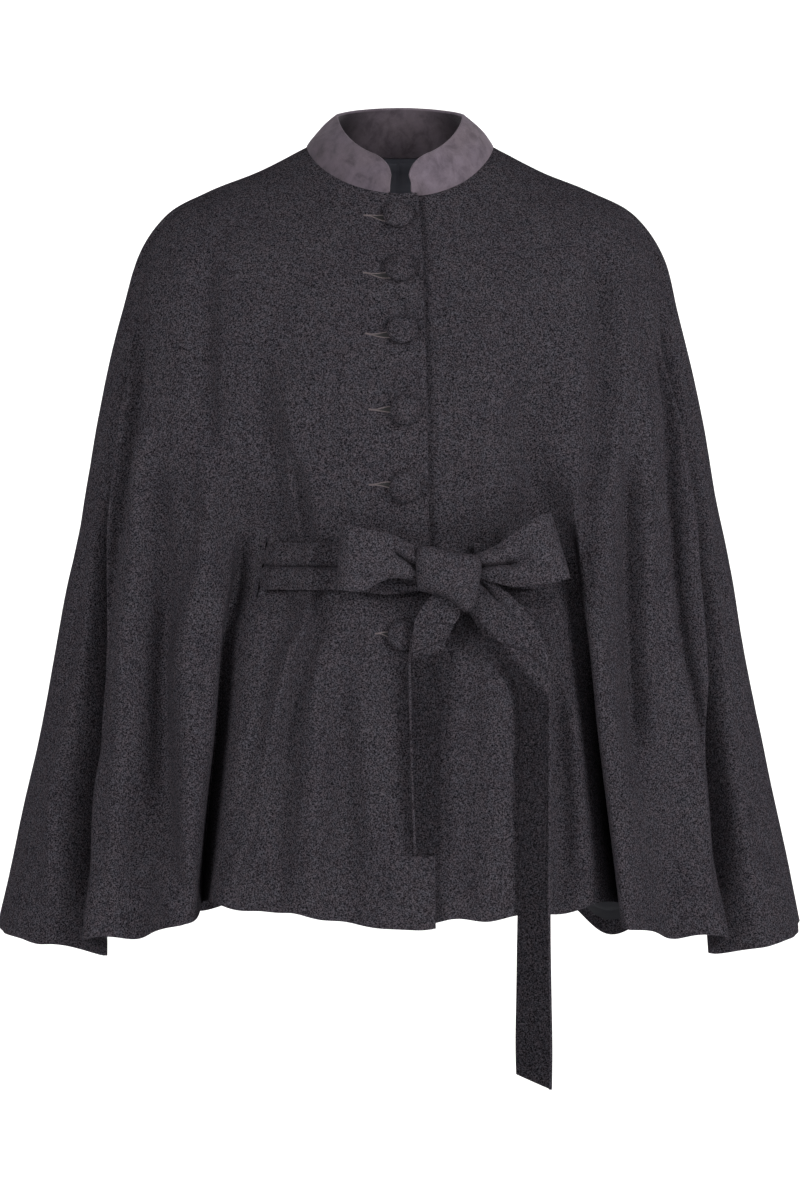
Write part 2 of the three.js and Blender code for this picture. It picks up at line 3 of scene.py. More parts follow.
import bpy
import numpy as np
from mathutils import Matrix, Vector


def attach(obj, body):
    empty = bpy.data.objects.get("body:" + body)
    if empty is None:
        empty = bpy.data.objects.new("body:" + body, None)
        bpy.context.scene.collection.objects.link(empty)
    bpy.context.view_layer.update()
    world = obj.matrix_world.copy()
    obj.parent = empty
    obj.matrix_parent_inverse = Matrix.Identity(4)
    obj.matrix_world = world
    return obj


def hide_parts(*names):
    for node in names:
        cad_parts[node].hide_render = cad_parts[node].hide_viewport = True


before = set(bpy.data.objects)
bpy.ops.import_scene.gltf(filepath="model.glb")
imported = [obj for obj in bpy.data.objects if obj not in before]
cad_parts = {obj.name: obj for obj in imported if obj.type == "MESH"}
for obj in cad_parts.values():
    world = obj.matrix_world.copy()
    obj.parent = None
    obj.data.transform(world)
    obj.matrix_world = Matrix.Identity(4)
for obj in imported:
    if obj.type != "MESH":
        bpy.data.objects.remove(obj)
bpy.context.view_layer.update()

bl_info = {
    "name": "Wool cape coat",
    "version": (1, 0, 0),
    "blender": (4, 5, 0),
    "location": "3D View > Sidebar > Cape",
    "description": "Belted wool cape with a stand collar, covered buttons and a bow",
    "category": "Object",
}

MM = 0.001
SIDE_Y = 6.0

# The drape, in millimetres, as the solids have it but for the lean and lift of one fold. One row for each
# section from the neck seam to the hem.
SECTION_COLUMNS = ("down", "half_width", "side_z", "front_y", "front_z", "back_y", "back_z", "sweep")
SECTIONS = np.array([
    (0.0, 87, 5, -62, -48, 66, 7, 1.25),
    (0.06, 132, -19, -79, -86, 83, -34, 1.6),
    (0.12, 178, -38, -95, -127, 97, -78, 1.9),
    (0.175, 216, -59, -107, -165, 108, -120, 2),
    (0.235, 243, -98, -118, -206, 117, -166, 2),
    (0.31, 258, -152, -127, -256, 125, -222, 2),
    (0.42, 280, -251, -122, -328, 134, -304, 2),
    (0.5, 293, -322, -110, -382, 141, -364, 2),
    (0.6, 308, -397, -116, -446, 150, -436, 2),
    (0.75, 329, -512, -133, -545, 163, -541, 2),
    (0.88, 351, -620, -144, -629, 174, -626, 2),
    (1.0, 372, -718, -150, -708, 184, -706, 2),
])

# One row for each hanging fold, from the centre front round by the wearer's right: its angle at the hem and
# at the neck, where it starts, its spread, how far it stands out, leans and lifts, and how it grows.
FOLDS = np.array([
    (8, 8, 0.6, 3.5, -4, 0, 6, 1.0),
    (15, 15, 0.53, 4.2, 9, 0, 14, 0.8),
    (20.3, 20.7, 0.55, 3.2, 0, 0, 12, 1.0),
    (25.4, 26.5, 0.5, 3.2, 10, 4, 21, 0.9),
    (29, 30.5, 0.49, 2.8, -84, 24, 14, 0.95),
    (33, 33.5, 0.45, 3.4, 22, -22, 4, 0.85),
    (40, 46, 0.4, 2.6, -9, 0, -8, 1.0),
    (46.2, 67, 0.2, 4, 15, 15, -8, 0.75),
    (52, 73.5, 0.2, 4, -32, -15, -20, 0.75),
    (60, 78.3, 0.3, 6, 0, 0, -12, 1.0),
    (70, 82, 0.3, 9, 8, 0, -8, 1.0),
    (90, 90, 0.3, 8, 0, 0, 4, 1.0),
    (106, 108, 0.3, 8, -26, 0, 0, 1.1),
    (128, 130, 0.25, 9, 16, 0, 0, 1.1),
    (147, 148, 0.3, 7, -26, 0, -8, 1.1),
    (165, 164, 0.25, 8, 14, 0, 0, 1.1),
    (182, 181, 0.35, 7, -22, 0, 0, 1.1),
    (198, 197, 0.25, 8, 15, 0, 0, 1.1),
    (215, 214, 0.3, 7, -25, 0, -30, 1.1),
    (234, 232, 0.25, 9, 15, 0, 0, 1.1),
    (255, 253, 0.3, 8, -24, 0, 0, 1.1),
    (270, 270, 0.3, 8, 0, 0, 4, 1.0),
    (290, 278, 0.3, 9, 8, 0, -10, 1.0),
    (300, 281.7, 0.3, 6.5, 0, 0, -14, 1.0),
    (306, 287, 0.2, 4, -30, 6, -14, 0.75),
    (312, 293.5, 0.2, 4, 15, -15, -6, 0.75),
    (318.5, 314, 0.4, 2.6, -9, 0, -8, 1.0),
    (326, 325, 0.45, 3.4, 24, 16, 0, 0.85),
    (330.3, 329.5, 0.47, 2.3, -84, -40, 14, 0.95),
    (334, 333.5, 0.5, 3.2, -8, -20, 23, 0.9),
    (339.5, 339.4, 0.55, 3.4, 0, 0, 9, 1.0),
    (344, 344, 0.53, 4.2, 8, 0, 11, 0.8),
    (352, 352, 0.6, 3.5, -4, 0, 8, 1.0),
])

# One row for each place where the belt draws the cloth in, or fullness swells beside it: its angle at the
# hem, its share down, its spread round and down, and how far it stands out.
DENTS = np.array([
    (24.5, 0.51, 7.5, 0.075, -24),
    (335.5, 0.51, 7.5, 0.075, -24),
    (42, 0.44, 12, 0.14, 10),
    (318, 0.44, 12, 0.14, 10),
])

# One row for each soft flute that is placed on the fronts: how far it stands out, its spread to the
# left and to the right, and the places (x, z) it passes, seen from the front.
FLUTES = [
    (-13.5, 11, 13, ((-222, -302), (-218, -382), (-218, -462), (-217, -525), (-211, -596), (-198, -667),
                     (-190, -698))),
    (9, 13, 14, ((-231, -267), (-236, -382), (-245, -462), (-246, -525), (-252, -596), (-256, -716))),
    (9, 13, 12, ((-166, -267), (-174, -382), (-194, -462), (-191, -525), (-190, -596), (-198, -658))),
    (-9, 11, 12, ((-176, -115), (-178, -178), (-174, -258), (-152, -329), (-150, -418))),
    (-7.5, 14, 14, ((-129, -222), (-117, -267), (-102, -320), (-96, -365))),
    (6, 12, 12, ((-100, -213), (-94, -293))),
    (-14, 6.5, 6.5, ((-239, -178), (-245, -258), (-256, -329), (-271, -462), (-273, -525), (-285, -596),
                     (-286, -685))),
    (7.5, 12, 12, ((-270, -329), (-285, -462), (-298, -525), (-312, -596), (-313, -685))),
    (9.5, 11, 5, ((-78, -411), (-85, -445), (-98, -471), (-109, -525), (-123, -596), (-144, -667),
                  (-151, -689))),
    (-9.5, 5, 11, ((-69, -414), (-77, -454), (-85, -471), (-96, -525), (-103, -596), (-106, -694))),
    (5.25, 14, 14, ((-28, -436), (-32, -507), (-25, -596), (-4, -676))),
    (-6, 10, 10, ((-55, -498), (-48, -596), (-43, -698))),
    (4.5, 11, 11, ((-73, -507), (-71, -596), (-78, -685))),
    (4.5, 14, 14, ((77, -498), (80, -596), (71, -685))),
    (-7.5, 9, 9, ((139, -498), (144, -596), (144, -685))),
    (4.5, 10, 10, ((153, -498), (160, -596), (169, -685))),
    (6, 12, 12, ((183, -329), (178, -418), (180, -462), (189, -525), (203, -596), (214, -676))),
    (-12, 9, 9, ((211, -302), (208, -382), (208, -462), (211, -534))),
    (7.5, 11, 11, ((222, -222), (222, -329), (222, -462), (224, -525), (236, -649))),
    (-10, 10, 10, ((181, -106), (183, -151), (183, -222), (178, -267), (171, -338))),
    (6, 10, 10, ((203, -124), (198, -240), (189, -302))),
    (-16, 6.5, 6.5, ((239, -178), (249, -258), (251, -329), (263, -462), (276, -525), (287, -596),
                     (291, -685))),
    (7.5, 12, 12, ((274, -329), (289, -462), (294, -525), (303, -596), (315, -685))),
    (-14, 18, 18, ((125, -213), (117, -267), (129, -329))),
    (-4.5, 8, 8, ((76, -302), (73, -378))),
    (7.5, 8, 8, ((157, -311), (153, -387))),
]

# One row for each short crease: a line from (x0, z0) to (x1, z1) seen from the front, how far it stands out,
# and its spread below or left of the line and above or right of it.
CREASES = [
    (-93, -292, -80, -370, -7.0, 5, 4.5),
    (-103, -292, -91, -370, 5.5, 7, 5),
    (-276, -587, -224, -585, -1.5, 2.4, 2.4),
    (-228, -585, -170, -578, -1.4, 2.4, 2.4),
    (-150, -372, -200, -320, -2.6, 9, 9),
    (-140, -352, -176, -280, 2.2, 10, 10),
    (132, -338, 178, -286, -3.2, 8, 8),
    (140, -330, 190, -270, 2.8, 10, 10),
]

# Free edges of the two fronts, seen from the front, and the slit that the belt goes through.
LAP_TOP, LAP_HEM, UNDER_EDGE = 15.0, 31.0, -24.0
SLIT = {"x": 124.0, "top": -361.0, "bottom": -417.0, "left_bottom": -403.0, "lip": 0.16}
# The lap's pressed edge: how far it stands out, how much more below the belt, its spread, and the step of its
# hem corner. The front under it: its gap, its dip beside the lap, and the same three.
LAP = {"out": 1.3, "more": 0.9, "spread": 4.5, "corner": -2.6}
UNDER = {"gap": 1.6, "dip": 1.2, "more": 1.6, "spread": 4.0, "corner": 1.2}
CORNER_SPREAD = 22.0
# The slit's lips: how far they stand out, their spread, half their length, their fading past the ends, and
# millimetres to a degree round the cape there.
LIPS = {"out": 1.3, "spread": 2.6, "half": 24.0, "fade": 5.0, "degree": 5.2}
# Side seams: how far the cloth dips there and over what spread, and how far a front goes past and under
# the back.
SEAM_ANGLE = 90
SEAM = {"dip": 0.9, "spread": 3.0, "beside": 1.2, "under": 0.6}
# Columns of mesh before and after a front's slit, in the facing of its free edge, and across the back.
COLUMNS = {"near": 56, "far": 220, "facing": 29, "back": 230}
# Share down where the wool facing of the hem starts, and the lining's own wall and place inside the back.
FACING_DOWN = 0.978
LINING = {"wall": 0.8, "gap": 0.6, "start": 0.006}
# Steps, in degrees round and in shares down, that tell slopes of the plain form and of the draped one.
PLAIN_STEP, DRAPED_STEP = (0.5, 0.004), (0.25, 0.003)

# Ring at the top of the stand collar, and its ends.
COLLAR_TOP = {"half_width": 60, "side_z": 34, "front_y": -54, "front_z": -16, "back_y": 54, "back_z": 47,
              "sweep": 1.18}
COLLAR = {"wall": 2.4, "rise": 0.5, "corner": 26.0, "end": 0.5, "left": 7.0, "right": 352.5}

# Covered buttons down the lap, top first: their (x, z), and that of the left end of each one's hole.
BUTTONS = [
    (-1.5, -70, -33, -72),
    (0, -120, -33, -126.5),
    (2, -177, -31, -182),
    (5, -249, -28, -250),
    (4.5, -318, -28, -317),
    (3, -450, -22, -450),
]
# Half outline of a button as shares of its radius and height, from its back to its crown.
BUTTON_PROFILE = np.array([
    (0.0, 0.0), (0.62, 0.0), (0.66, 0.16), (0.93, 0.20), (0.995, 0.30), (1.0, 0.42), (0.96, 0.55),
    (0.88, 0.67), (0.74, 0.80), (0.56, 0.90), (0.36, 0.965), (0.16, 0.99), (0.0, 1.0)])
BUTTON = {"high": 8.2, "off": 0.7, "sides": 56}
HOLE = {"under": 6.0, "open": 2.3, "rise": 2.2, "thread": 0.5, "off": 0.35, "steps": 30}
STITCH = {"beside": (-1.15, 1.1), "past": 0.006, "off": 0.2, "thread": 0.42, "steps": 60, "every": 4,
          "long": 3}

# Bow loops from the front of the knot round to the back of it. One row for each station: its place (x, y, z),
# the way across the belt (x, z), the width, and how far the belt bulges.
LOOP_RIGHT = np.array([
    (19, -130, -388, 0, 1, 27, 2),
    (-2, -136, -380.5, 0.04, 1, 35, 3),
    (-14, -140.5, -380, 0.06, 1, 41, 4),
    (-30, -144.5, -383, 0.1, 1, 54, 5),
    (-45, -143, -381, 0.1, 1, 57, 4),
    (-52, -137, -380.5, 0.1, 1, 58, 2),
    (-50, -128, -380.5, 0.1, 1, 58, 1),
    (-36, -122, -384, 0.08, 1, 52, 0),
    (-10, -120, -393, 0.05, 1, 40, 0),
    (19, -121, -396, 0, 1, 27, 0),
], float)
LOOP_LEFT = np.array([
    (62, -129, -388, 0, 1, 17, 2),
    (84, -135, -387, -0.06, 1, 31, 3),
    (102, -140, -383, -0.12, 1, 46, 4),
    (128, -141, -374, -0.26, 1, 59, 4),
    (140, -133, -370, -0.3, 1, 61, 2),
    (138, -124, -370, -0.3, 1, 61, 1),
    (126, -118, -375, -0.24, 1, 56, 0),
    (100, -117, -386, -0.1, 1, 42, 0),
    (66, -120, -391, 0, 1, 24, 0),
], float)
# The knot: its middle, half its depth, how full its pillow is, and its outline seen from the front.
KNOT = {"x": 45.0, "z": -399.0, "y": -132.5, "deep": 17.0, "pillow": 0.55, "sides": 120, "levels": 46}
KNOT_OUTLINE = np.array([
    (15, -374), (26, -370), (51, -376), (70, -379), (72, -392), (70, -405),
    (65, -425), (58, -429), (50, -423), (40, -416), (25, -412), (15.5, -406),
], float)
# Creases of the bow's loops and of its knot, as in the table of creases above.
BOW_CREASES = [
    (28, -397, -8, -374, -7, 2.6, 2.6),
    (16, -384, -9, -368, 3.5, 5, 5),
    (16, -397, -22, -390, 3.5, 5, 6),
    (-40, -404, -20, -396, -1.8, 6, 6),
    (64, -389.5, 106, -386, -6.5, 2.6, 3),
    (92, -387.5, 116, -380, -4, 4, 5),
    (70, -383, 98, -373, 3.5, 6, 6),
    (92, -397, 128, -394, 3, 8, 8),
    (118, -362, 132, -388, 1.8, 8, 8),
]
KNOT_CREASES = [
    (14, -398, 42, -413, 1.8, 5, 5),
    (44, -416, 72, -400, -2.2, 3.5, 3.5),
    (50, -409, 72, -392, 2.2, 6, 6),
    (16, -382, 66, -386, -1.4, 6, 6),
]
# Belt ends from the knot down. One row for each station: its place (x, z), the width, how far off the front
# it hangs, the way across the belt (x, z), and its turn in degrees.
TAIL_SHORT = np.array([
    (42, -417, 26, 13, 1, -0.3, 0),
    (36, -430, 34, 12.5, 1, -0.2, -4),
    (31, -440, 37, 11, 1, 0.12, -4),
    (25, -458, 32, 7.4, 1, 0.24, 8),
    (22.6, -478, 29.5, 5, 1, 0.08, 14),
    (22.6, -526, 27.5, 4, 1, 0, 16),
    (23, -580, 25, 3.8, 1, 0, 16),
    (24, -641, 22, 3.8, 1, 0, 12),
], float)
TAIL_LONG = np.array([
    (66, -405, 26, 13, 0.75, 0.6, 0),
    (78, -421, 37, 13, 0.8, 0.58, 0),
    (96, -444, 43, 12, 0.85, 0.52, 2),
    (112, -470, 38, 10, 0.95, 0.34, -4),
    (119, -504, 28, 8, 1, 0.1, -16),
    (119, -560, 27, 6, 1, 0, -16),
    (118, -640, 27, 5, 1, 0, -14),
    (117, -710, 28, 5, 1, 0, -10),
    (117, -780, 30, 5, 1, 0, -6),
    (117, -841, 33, 5, 1, -0.45, 0),
], float)
# The belt's height, width and cloth, its gap to the front, and how it leans where it goes through a slit.
BELT = {"z": -388.0, "width": 42.0, "cloth": 2.6, "gap": 1.4, "lean_x": 0.14, "lean_y": 0.17, "back_y": 104}
# The belt's way through a slit: how far beside the slit, and how far behind the middle of the cloth.
BELT_DIVE = ((-6, -8.0), (-2, -4.0), (0.5, 2.3), (3.5, 11.3), (8, 22))
STATIONS = 170

# The room, in metres: its floor, wall, the bend between them, and how far they reach.
ROOM = {"floor": -1.45, "wall": 4.9, "bend": 0.9, "near": -6.0, "top": 4.2, "half_width": 7.0}
PAPER_POWER, PAPER_TARGET = 125.0, (0.0, 4.9, -0.6)
SENSOR = 24.0


# Sizes and colours that a user would change.
class CapeSizes(bpy.types.PropertyGroup):
    """Sizes of the cape's cloth and trim."""

    cloth: bpy.props.FloatProperty(
        name="Cloth", description="Thickness of the wool with its backing", default=0.0024, unit="LENGTH")
    crease: bpy.props.FloatProperty(
        name="Creases", description="Strength of the creases laid by hand", default=1.0, min=0.0, max=2.0)
    uneven: bpy.props.FloatProperty(
        name="Unevenness", description="How far the cloth strays from its smooth drape", default=0.0012,
        unit="LENGTH")
    button: bpy.props.FloatProperty(
        name="Button", description="Radius of a covered button", default=0.014, unit="LENGTH")
    rows: bpy.props.IntProperty(
        name="Rows", description="Rows of mesh from neck to hem", default=168, min=40, max=320)


class CapeColours(bpy.types.PropertyGroup):
    """Colours of the cape's cloths."""

    wool_dark: bpy.props.FloatVectorProperty(
        name="Wool, dark fibre", description="Ground of the melange", subtype="COLOR",
        default=(0.005, 0.0046, 0.0055))
    wool_light: bpy.props.FloatVectorProperty(
        name="Wool, light fibre", description="Pale fibres in the melange", subtype="COLOR",
        default=(0.078, 0.071, 0.080))
    suede: bpy.props.FloatVectorProperty(
        name="Collar", description="Mauve grey nap of the collar", subtype="COLOR",
        default=(0.145, 0.123, 0.142))
    lining: bpy.props.FloatVectorProperty(
        name="Lining", description="Navy satin inside", subtype="COLOR", default=(0.106, 0.108, 0.132))
    thread: bpy.props.FloatVectorProperty(
        name="Thread", description="Buttonhole thread", subtype="COLOR", default=(0.115, 0.088, 0.094))


class CapeStage(bpy.types.PropertyGroup):
    """Camera and light."""

    distance: bpy.props.FloatProperty(
        name="Camera distance", description="From the neck's plane", default=2.8, unit="LENGTH")
    height: bpy.props.FloatProperty(
        name="Camera height", description="Height of the lens in the cape's frame", default=-0.418,
        unit="LENGTH")
    view: bpy.props.FloatProperty(
        name="Height of view", description="Height that the picture spans at the neck's plane", default=1.116,
        unit="LENGTH")
    key: bpy.props.FloatProperty(
        name="Key light", description="Power of the soft light at the front right", default=82.0,
        unit="POWER")
    fill: bpy.props.FloatProperty(
        name="Fill light", description="Power of the soft light at the front left", default=57.0,
        unit="POWER")
    sky: bpy.props.FloatProperty(
        name="Room light", description="Strength of the even light all round", default=0.055)


# Drape: the form of the cape as points.
def floats(*values):
    """The values as arrays of one shape."""
    return np.broadcast_arrays(*(np.asarray(value, float) for value in values))


def steps(path):
    """Length of each step along a path."""
    return np.linalg.norm(np.diff(path, axis=0), axis=1)


def smooth(value):
    """Soft step from 0 to 1."""
    s = np.clip(value, 0.0, 1.0)
    return s * s * (3 - 2 * s)


def bell(value, spread):
    """Bell of height 1 round 0."""
    return np.exp(-(value / spread) ** 2)


def along_table(keys, values, at):
    """Smooth value of a table's column at each place along its key column."""
    at = np.asarray(at, float)
    slope = np.empty(len(keys))
    slope[1:-1] = (values[2:] - values[:-2]) / (keys[2:] - keys[:-2])
    slope[0] = (values[1] - values[0]) / (keys[1] - keys[0])
    slope[-1] = (values[-1] - values[-2]) / (keys[-1] - keys[-2])
    i = np.clip(np.searchsorted(keys, at, side="left") - 1, 0, len(keys) - 2)
    span = keys[i + 1] - keys[i]
    s = (at - keys[i]) / span
    s2, s3 = s * s, s * s * s
    return ((2 * s3 - 3 * s2 + 1) * values[i] + (s3 - 2 * s2 + s) * slope[i] * span
            + (3 * s2 - 2 * s3) * values[i + 1] + (s3 - s2) * slope[i + 1] * span)


def section(name, down):
    """One size of the plain form at each share down."""
    return along_table(SECTIONS[:, 0], SECTIONS[:, SECTION_COLUMNS.index(name)], down)


def ring_points(angle, size):
    """Points on a ring with the given half width, side, front and back sizes."""
    s, c = np.sin(np.radians(angle)), np.cos(np.radians(angle))
    end_y = np.where(c > 0, size("front_y"), size("back_y"))
    end_z = np.where(c > 0, size("front_z"), size("back_z"))
    side_z = size("side_z")
    x = -size("half_width") * s
    z = side_z + (end_z - side_z) * np.abs(c) ** size("sweep")
    return np.stack([x, SIDE_Y + (end_y - SIDE_Y) * np.abs(c), z], axis=-1)


def plain_points(angle, down):
    """Points on the plain form without folds."""
    return ring_points(angle, lambda name: section(name, down))


def angle_of(hem, down):
    """Angle on the plain form of the line that meets the hem at that angle."""
    hems = np.concatenate([[0.0], FOLDS[:, 0], [360.0]])
    shift = np.concatenate([[0.0], FOLDS[:, 1] - FOLDS[:, 0], [0.0]])
    around = np.mod(hem, 360.0)
    i = np.clip(np.searchsorted(hems, around, side="left") - 1, 0, len(hems) - 2)
    share = smooth((around - hems[i]) / (hems[i + 1] - hems[i]))
    move = shift[i] + (shift[i + 1] - shift[i]) * share
    return hem + move * (1 - np.clip((down - 0.2) / 0.8, 0, 1.05))


def line_points(hem, down):
    """Points on the plain form along the lines that the cloth hangs in."""
    return plain_points(angle_of(hem, down), down)


def unit(v):
    """Each way at length 1."""
    return v / np.maximum(np.linalg.norm(v, axis=-1, keepdims=True), 1e-12)


def frame_of(points_at, u, v, du, dv):
    """Ways across, along and outward at each place of a form."""
    across = unit(points_at(u + du, v) - points_at(u - du, v))
    along = unit(points_at(u, v + dv) - points_at(u, v - dv))
    return across, along, unit(np.cross(across, along))


def turned(degrees):
    """Each angle between -180 and 180 degrees."""
    return np.mod(degrees + 180.0, 360.0) - 180.0


def cape_points(hem, down):
    """The draped cape with its hanging folds, as the solids have it."""
    hem, down = floats(hem, down)
    point = line_points(hem, down)
    out, lean, lift = np.zeros(hem.shape), np.zeros(hem.shape), np.zeros(hem.shape)
    for at, _, start, width, far, sway, rise, grow in FOLDS:
        way = np.maximum((down - start) / (1 - start), 0.0)
        near = bell(turned(hem - at), width)
        shape = near * way ** grow
        out += far * shape
        lean += sway * near * np.sqrt(way)
        lift += rise * shape * way
    for at, level, wide, high, far in DENTS:
        out += far * np.exp(-(turned(hem - at) / wide) ** 2 - ((down - level) / high) ** 2)
    across, _, outward = frame_of(line_points, hem, down, *PLAIN_STEP)
    point = point + outward * out[..., None] + across * lean[..., None]
    point[..., 2] += lift
    return point


def crease_height(x, z):
    """How far the listed flutes and creases stand out at places seen from the front."""
    total = np.zeros(x.shape)
    for out, left, right, line in FLUTES:
        line_x, line_z = np.array(line, float).T
        side = x - along_table(-line_z, line_x, np.clip(-z, -line_z[0], -line_z[-1]))
        past = np.maximum(z - line_z[0] + 25, 0) + np.maximum(line_z[-1] - z + 15, 0)
        total += out * bell(past, 32) * bell(side, np.where(side > 0, right, left))
    return total * (1 - 0.55 * smooth((-640 - z) / 60)) + line_creases(CREASES, x, z)


def line_creases(table, x, z):
    """How far the short creases of a table stand out at places seen from the front."""
    total = np.zeros(x.shape)
    for x0, z0, x1, z1, out, left, right in table:
        dx, dz = x1 - x0, z1 - z0
        length = math.hypot(dx, dz)
        t = ((x - x0) * dx + (z - z0) * dz) / length ** 2
        side = ((z - z0) * dx - (x - x0) * dz) / length
        ends = bell(np.maximum(np.abs(t - 0.5) - 0.3, 0.0), 0.16)
        total += out * ends * bell(side, np.where(side > 0, right, left))
    return total


def unevenness(hem, down):
    """Slow wandering of hanging cloth, mostly up and down."""
    waves = [(12, 9.0, 0.3, 1.0), (21, 14.0, 1.9, 0.7), (5, 22.0, 4.1, 0.8),
             (32, 6.0, 2.6, 0.5), (48, 11.0, 5.2, 0.35), (75, 17.0, 0.9, 0.25)]
    total = np.zeros(np.broadcast(hem, down).shape)
    for round_rate, down_rate, phase, strength in waves:
        sway = 1.6 * np.sin(down * down_rate * 0.6 + phase * 2.1)
        wave = np.sin(np.radians(hem) * round_rate + sway + phase)
        total = total + strength * wave * np.cos(down * down_rate + phase * 1.7)
    return total


def drape_points(hem, down, sizes):
    """The cape as it shows: the folds with the small creases and the wandering of the cloth."""
    hem, down = floats(hem, down)
    point = cape_points(hem, down)
    _, _, outward = frame_of(line_points, hem, down, *PLAIN_STEP)
    small = unevenness(hem, down) * sizes.uneven / MM * smooth(down / 0.25)
    front = smooth((80 - np.abs(turned(hem))) / 12)
    small = small + crease_height(point[..., 0], point[..., 2]) * sizes.crease * front
    moved = outward * small[..., None]
    moved[..., 2] -= (moved[..., 2] - 0.1 * small) * smooth((down - 0.75) / 0.25)
    return point + moved


def front_at(x, z):
    """Lines and shares down at which the front of the cape lies at each (x, z)."""
    x, z = floats(x, z)
    down = np.clip((-z - 48.0) / 660.0, 0.01, 1.0)
    hem = np.zeros(x.shape)
    for _ in range(50):
        here = cape_points(hem, down)
        hem = hem + np.clip((here[..., 0] - x) / 6.0, -2, 2)
        down = down + np.clip((here[..., 2] - z) / 800.0, -0.05, 0.05)
    return hem, down


def on_front(x, z, off, sizes):
    """Points over the front at each (x, z), off it by the given distance."""
    x, z = floats(x, z)
    hem, down = front_at(x, np.clip(z, -690, -60))
    return np.stack([x, drape_points(hem, down, sizes)[..., 1] - off, z], -1)


def over_front(x, z, half_x, half_z, off, sizes):
    """Points that clear the front all round each (x, z)."""
    x, z, half_x = floats(x, z, half_x)
    spots = [(x + i * half_x, z + k * half_z) for i in (-1, 0, 1) for k in (-1, 0, 1)]
    near = on_front(np.stack([a for a, _ in spots]), np.stack([b for _, b in spots]), 0.0, sizes)
    return np.stack([x, near[..., 1].min(axis=0) - off, z], -1)


def spread(start, end, count):
    """Lines from start to end, even along the folded cloth, so that deep folds get more columns."""
    fine = np.linspace(start, end, 1600)
    far = np.zeros(len(fine))
    for level in (0.3, 0.8, 1.0):
        point = cape_points(fine, level)
        far[1:] += np.cumsum(steps(point))
    return np.interp(np.linspace(0, far[-1], count), far, fine)


def grid_normals(grid):
    """Outward way at each point of a grid."""
    down = np.gradient(grid, axis=0)
    across = np.gradient(grid, axis=1)
    return unit(np.cross(across, down))


# Meshes.
def new_piece(name, points, faces, materials, finish=None):
    """A smooth-shaded piece from points in millimetres, riding on the one body."""
    mesh = bpy.data.meshes.new(name)
    mesh.from_pydata((np.asarray(points, float).reshape(-1, 3) * MM).tolist(), [], [tuple(f) for f in faces])
    for material in materials:
        mesh.materials.append(material)
    if finish is not None:
        mesh.polygons.foreach_set("material_index", np.asarray(finish, np.int32))
    mesh.shade_smooth()
    mesh.update()
    piece = bpy.data.objects.new(name, mesh)
    bpy.context.scene.collection.objects.link(piece)
    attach(piece, "root")
    return piece


def wall_faces(rows, cols, hole):
    """Quads of a closed wall between two grids, outer ones, inner ones and rims, and the cells it keeps."""
    keep = np.ones((rows - 1, cols - 1), bool)
    if hole is not None:
        keep &= ~hole
    r, c = np.nonzero(keep)
    a, b = r * cols + c, r * cols + c + 1
    d, e = a + cols, b + cols
    far = rows * cols
    outer = np.stack([a, d, e, b], 1)
    inner = np.stack([a, b, e, d], 1) + far
    solid = np.zeros((rows + 1, cols + 1), bool)
    solid[1:-1, 1:-1] = keep
    rims = []
    for (dr, dc), (p, q) in {(0, -1): (a, d), (1, 0): (d, e), (0, 1): (e, b), (-1, 0): (b, a)}.items():
        edge = ~solid[r + 1 + dr, c + 1 + dc]
        rims.append(np.stack([q[edge], p[edge], p[edge] + far, q[edge] + far], 1))
    return np.concatenate([outer, inner, *rims]), r, c


def outward_faces(piece):
    """Turns the quads of a closed piece to look outward."""
    mesh = piece.data
    corner = np.empty(len(mesh.loops), np.int32)
    mesh.loops.foreach_get("vertex_index", corner)
    place = np.empty(len(mesh.vertices) * 3)
    mesh.vertices.foreach_get("co", place)
    quad = place.reshape(-1, 3)[corner.reshape(-1, 4)]
    volume = np.einsum("ij,ij->i", quad[:, 0], np.cross(quad[:, 1], quad[:, 2])).sum()
    volume += np.einsum("ij,ij->i", quad[:, 0], np.cross(quad[:, 2], quad[:, 3])).sum()
    if volume < 0:
        mesh.flip_normals()


def closed_wall(name, outer, inner, materials, hole=None, inner_finish=None, edge=0.0009):
    """A closed wall between two grids, with softly rounded edges."""
    rows, cols, _ = outer.shape
    faces, r, c = wall_faces(rows, cols, hole)
    finish = np.zeros(len(faces), int)
    if inner_finish is not None:
        finish[len(r):2 * len(r)] = inner_finish(r, c)
    piece = new_piece(name, np.stack([outer, inner]), faces, materials, finish)
    outward_faces(piece)
    bevel = piece.modifiers.new("Rounded edge", "BEVEL")
    bevel.width = edge
    bevel.segments = 2
    bevel.limit_method = "ANGLE"
    bevel.angle_limit = math.radians(62)
    return piece


def cloth_wall(name, outer, thick, materials, hole=None, inner_finish=None, edge=0.0008):
    """A cloth wall that hangs inside its outer grid."""
    return closed_wall(name, outer, outer - grid_normals(outer) * thick, materials, hole, inner_finish, edge)


def ring_body(rings, low, top):
    """Points and faces of a closed body from rings of points and a point at each end."""
    levels, count = len(rings), len(rings[0])
    last = (levels - 1) * count
    faces = []
    for level in range(levels - 1):
        for k in range(count):
            a, b = level * count + k, level * count + (k + 1) % count
            faces.append((a, b, b + count, a + count))
    for k in range(count):
        faces.append((levels * count, (k + 1) % count, k))
        faces.append((levels * count + 1, last + k, last + (k + 1) % count))
    return np.concatenate([*rings, np.array([low, top])]), faces


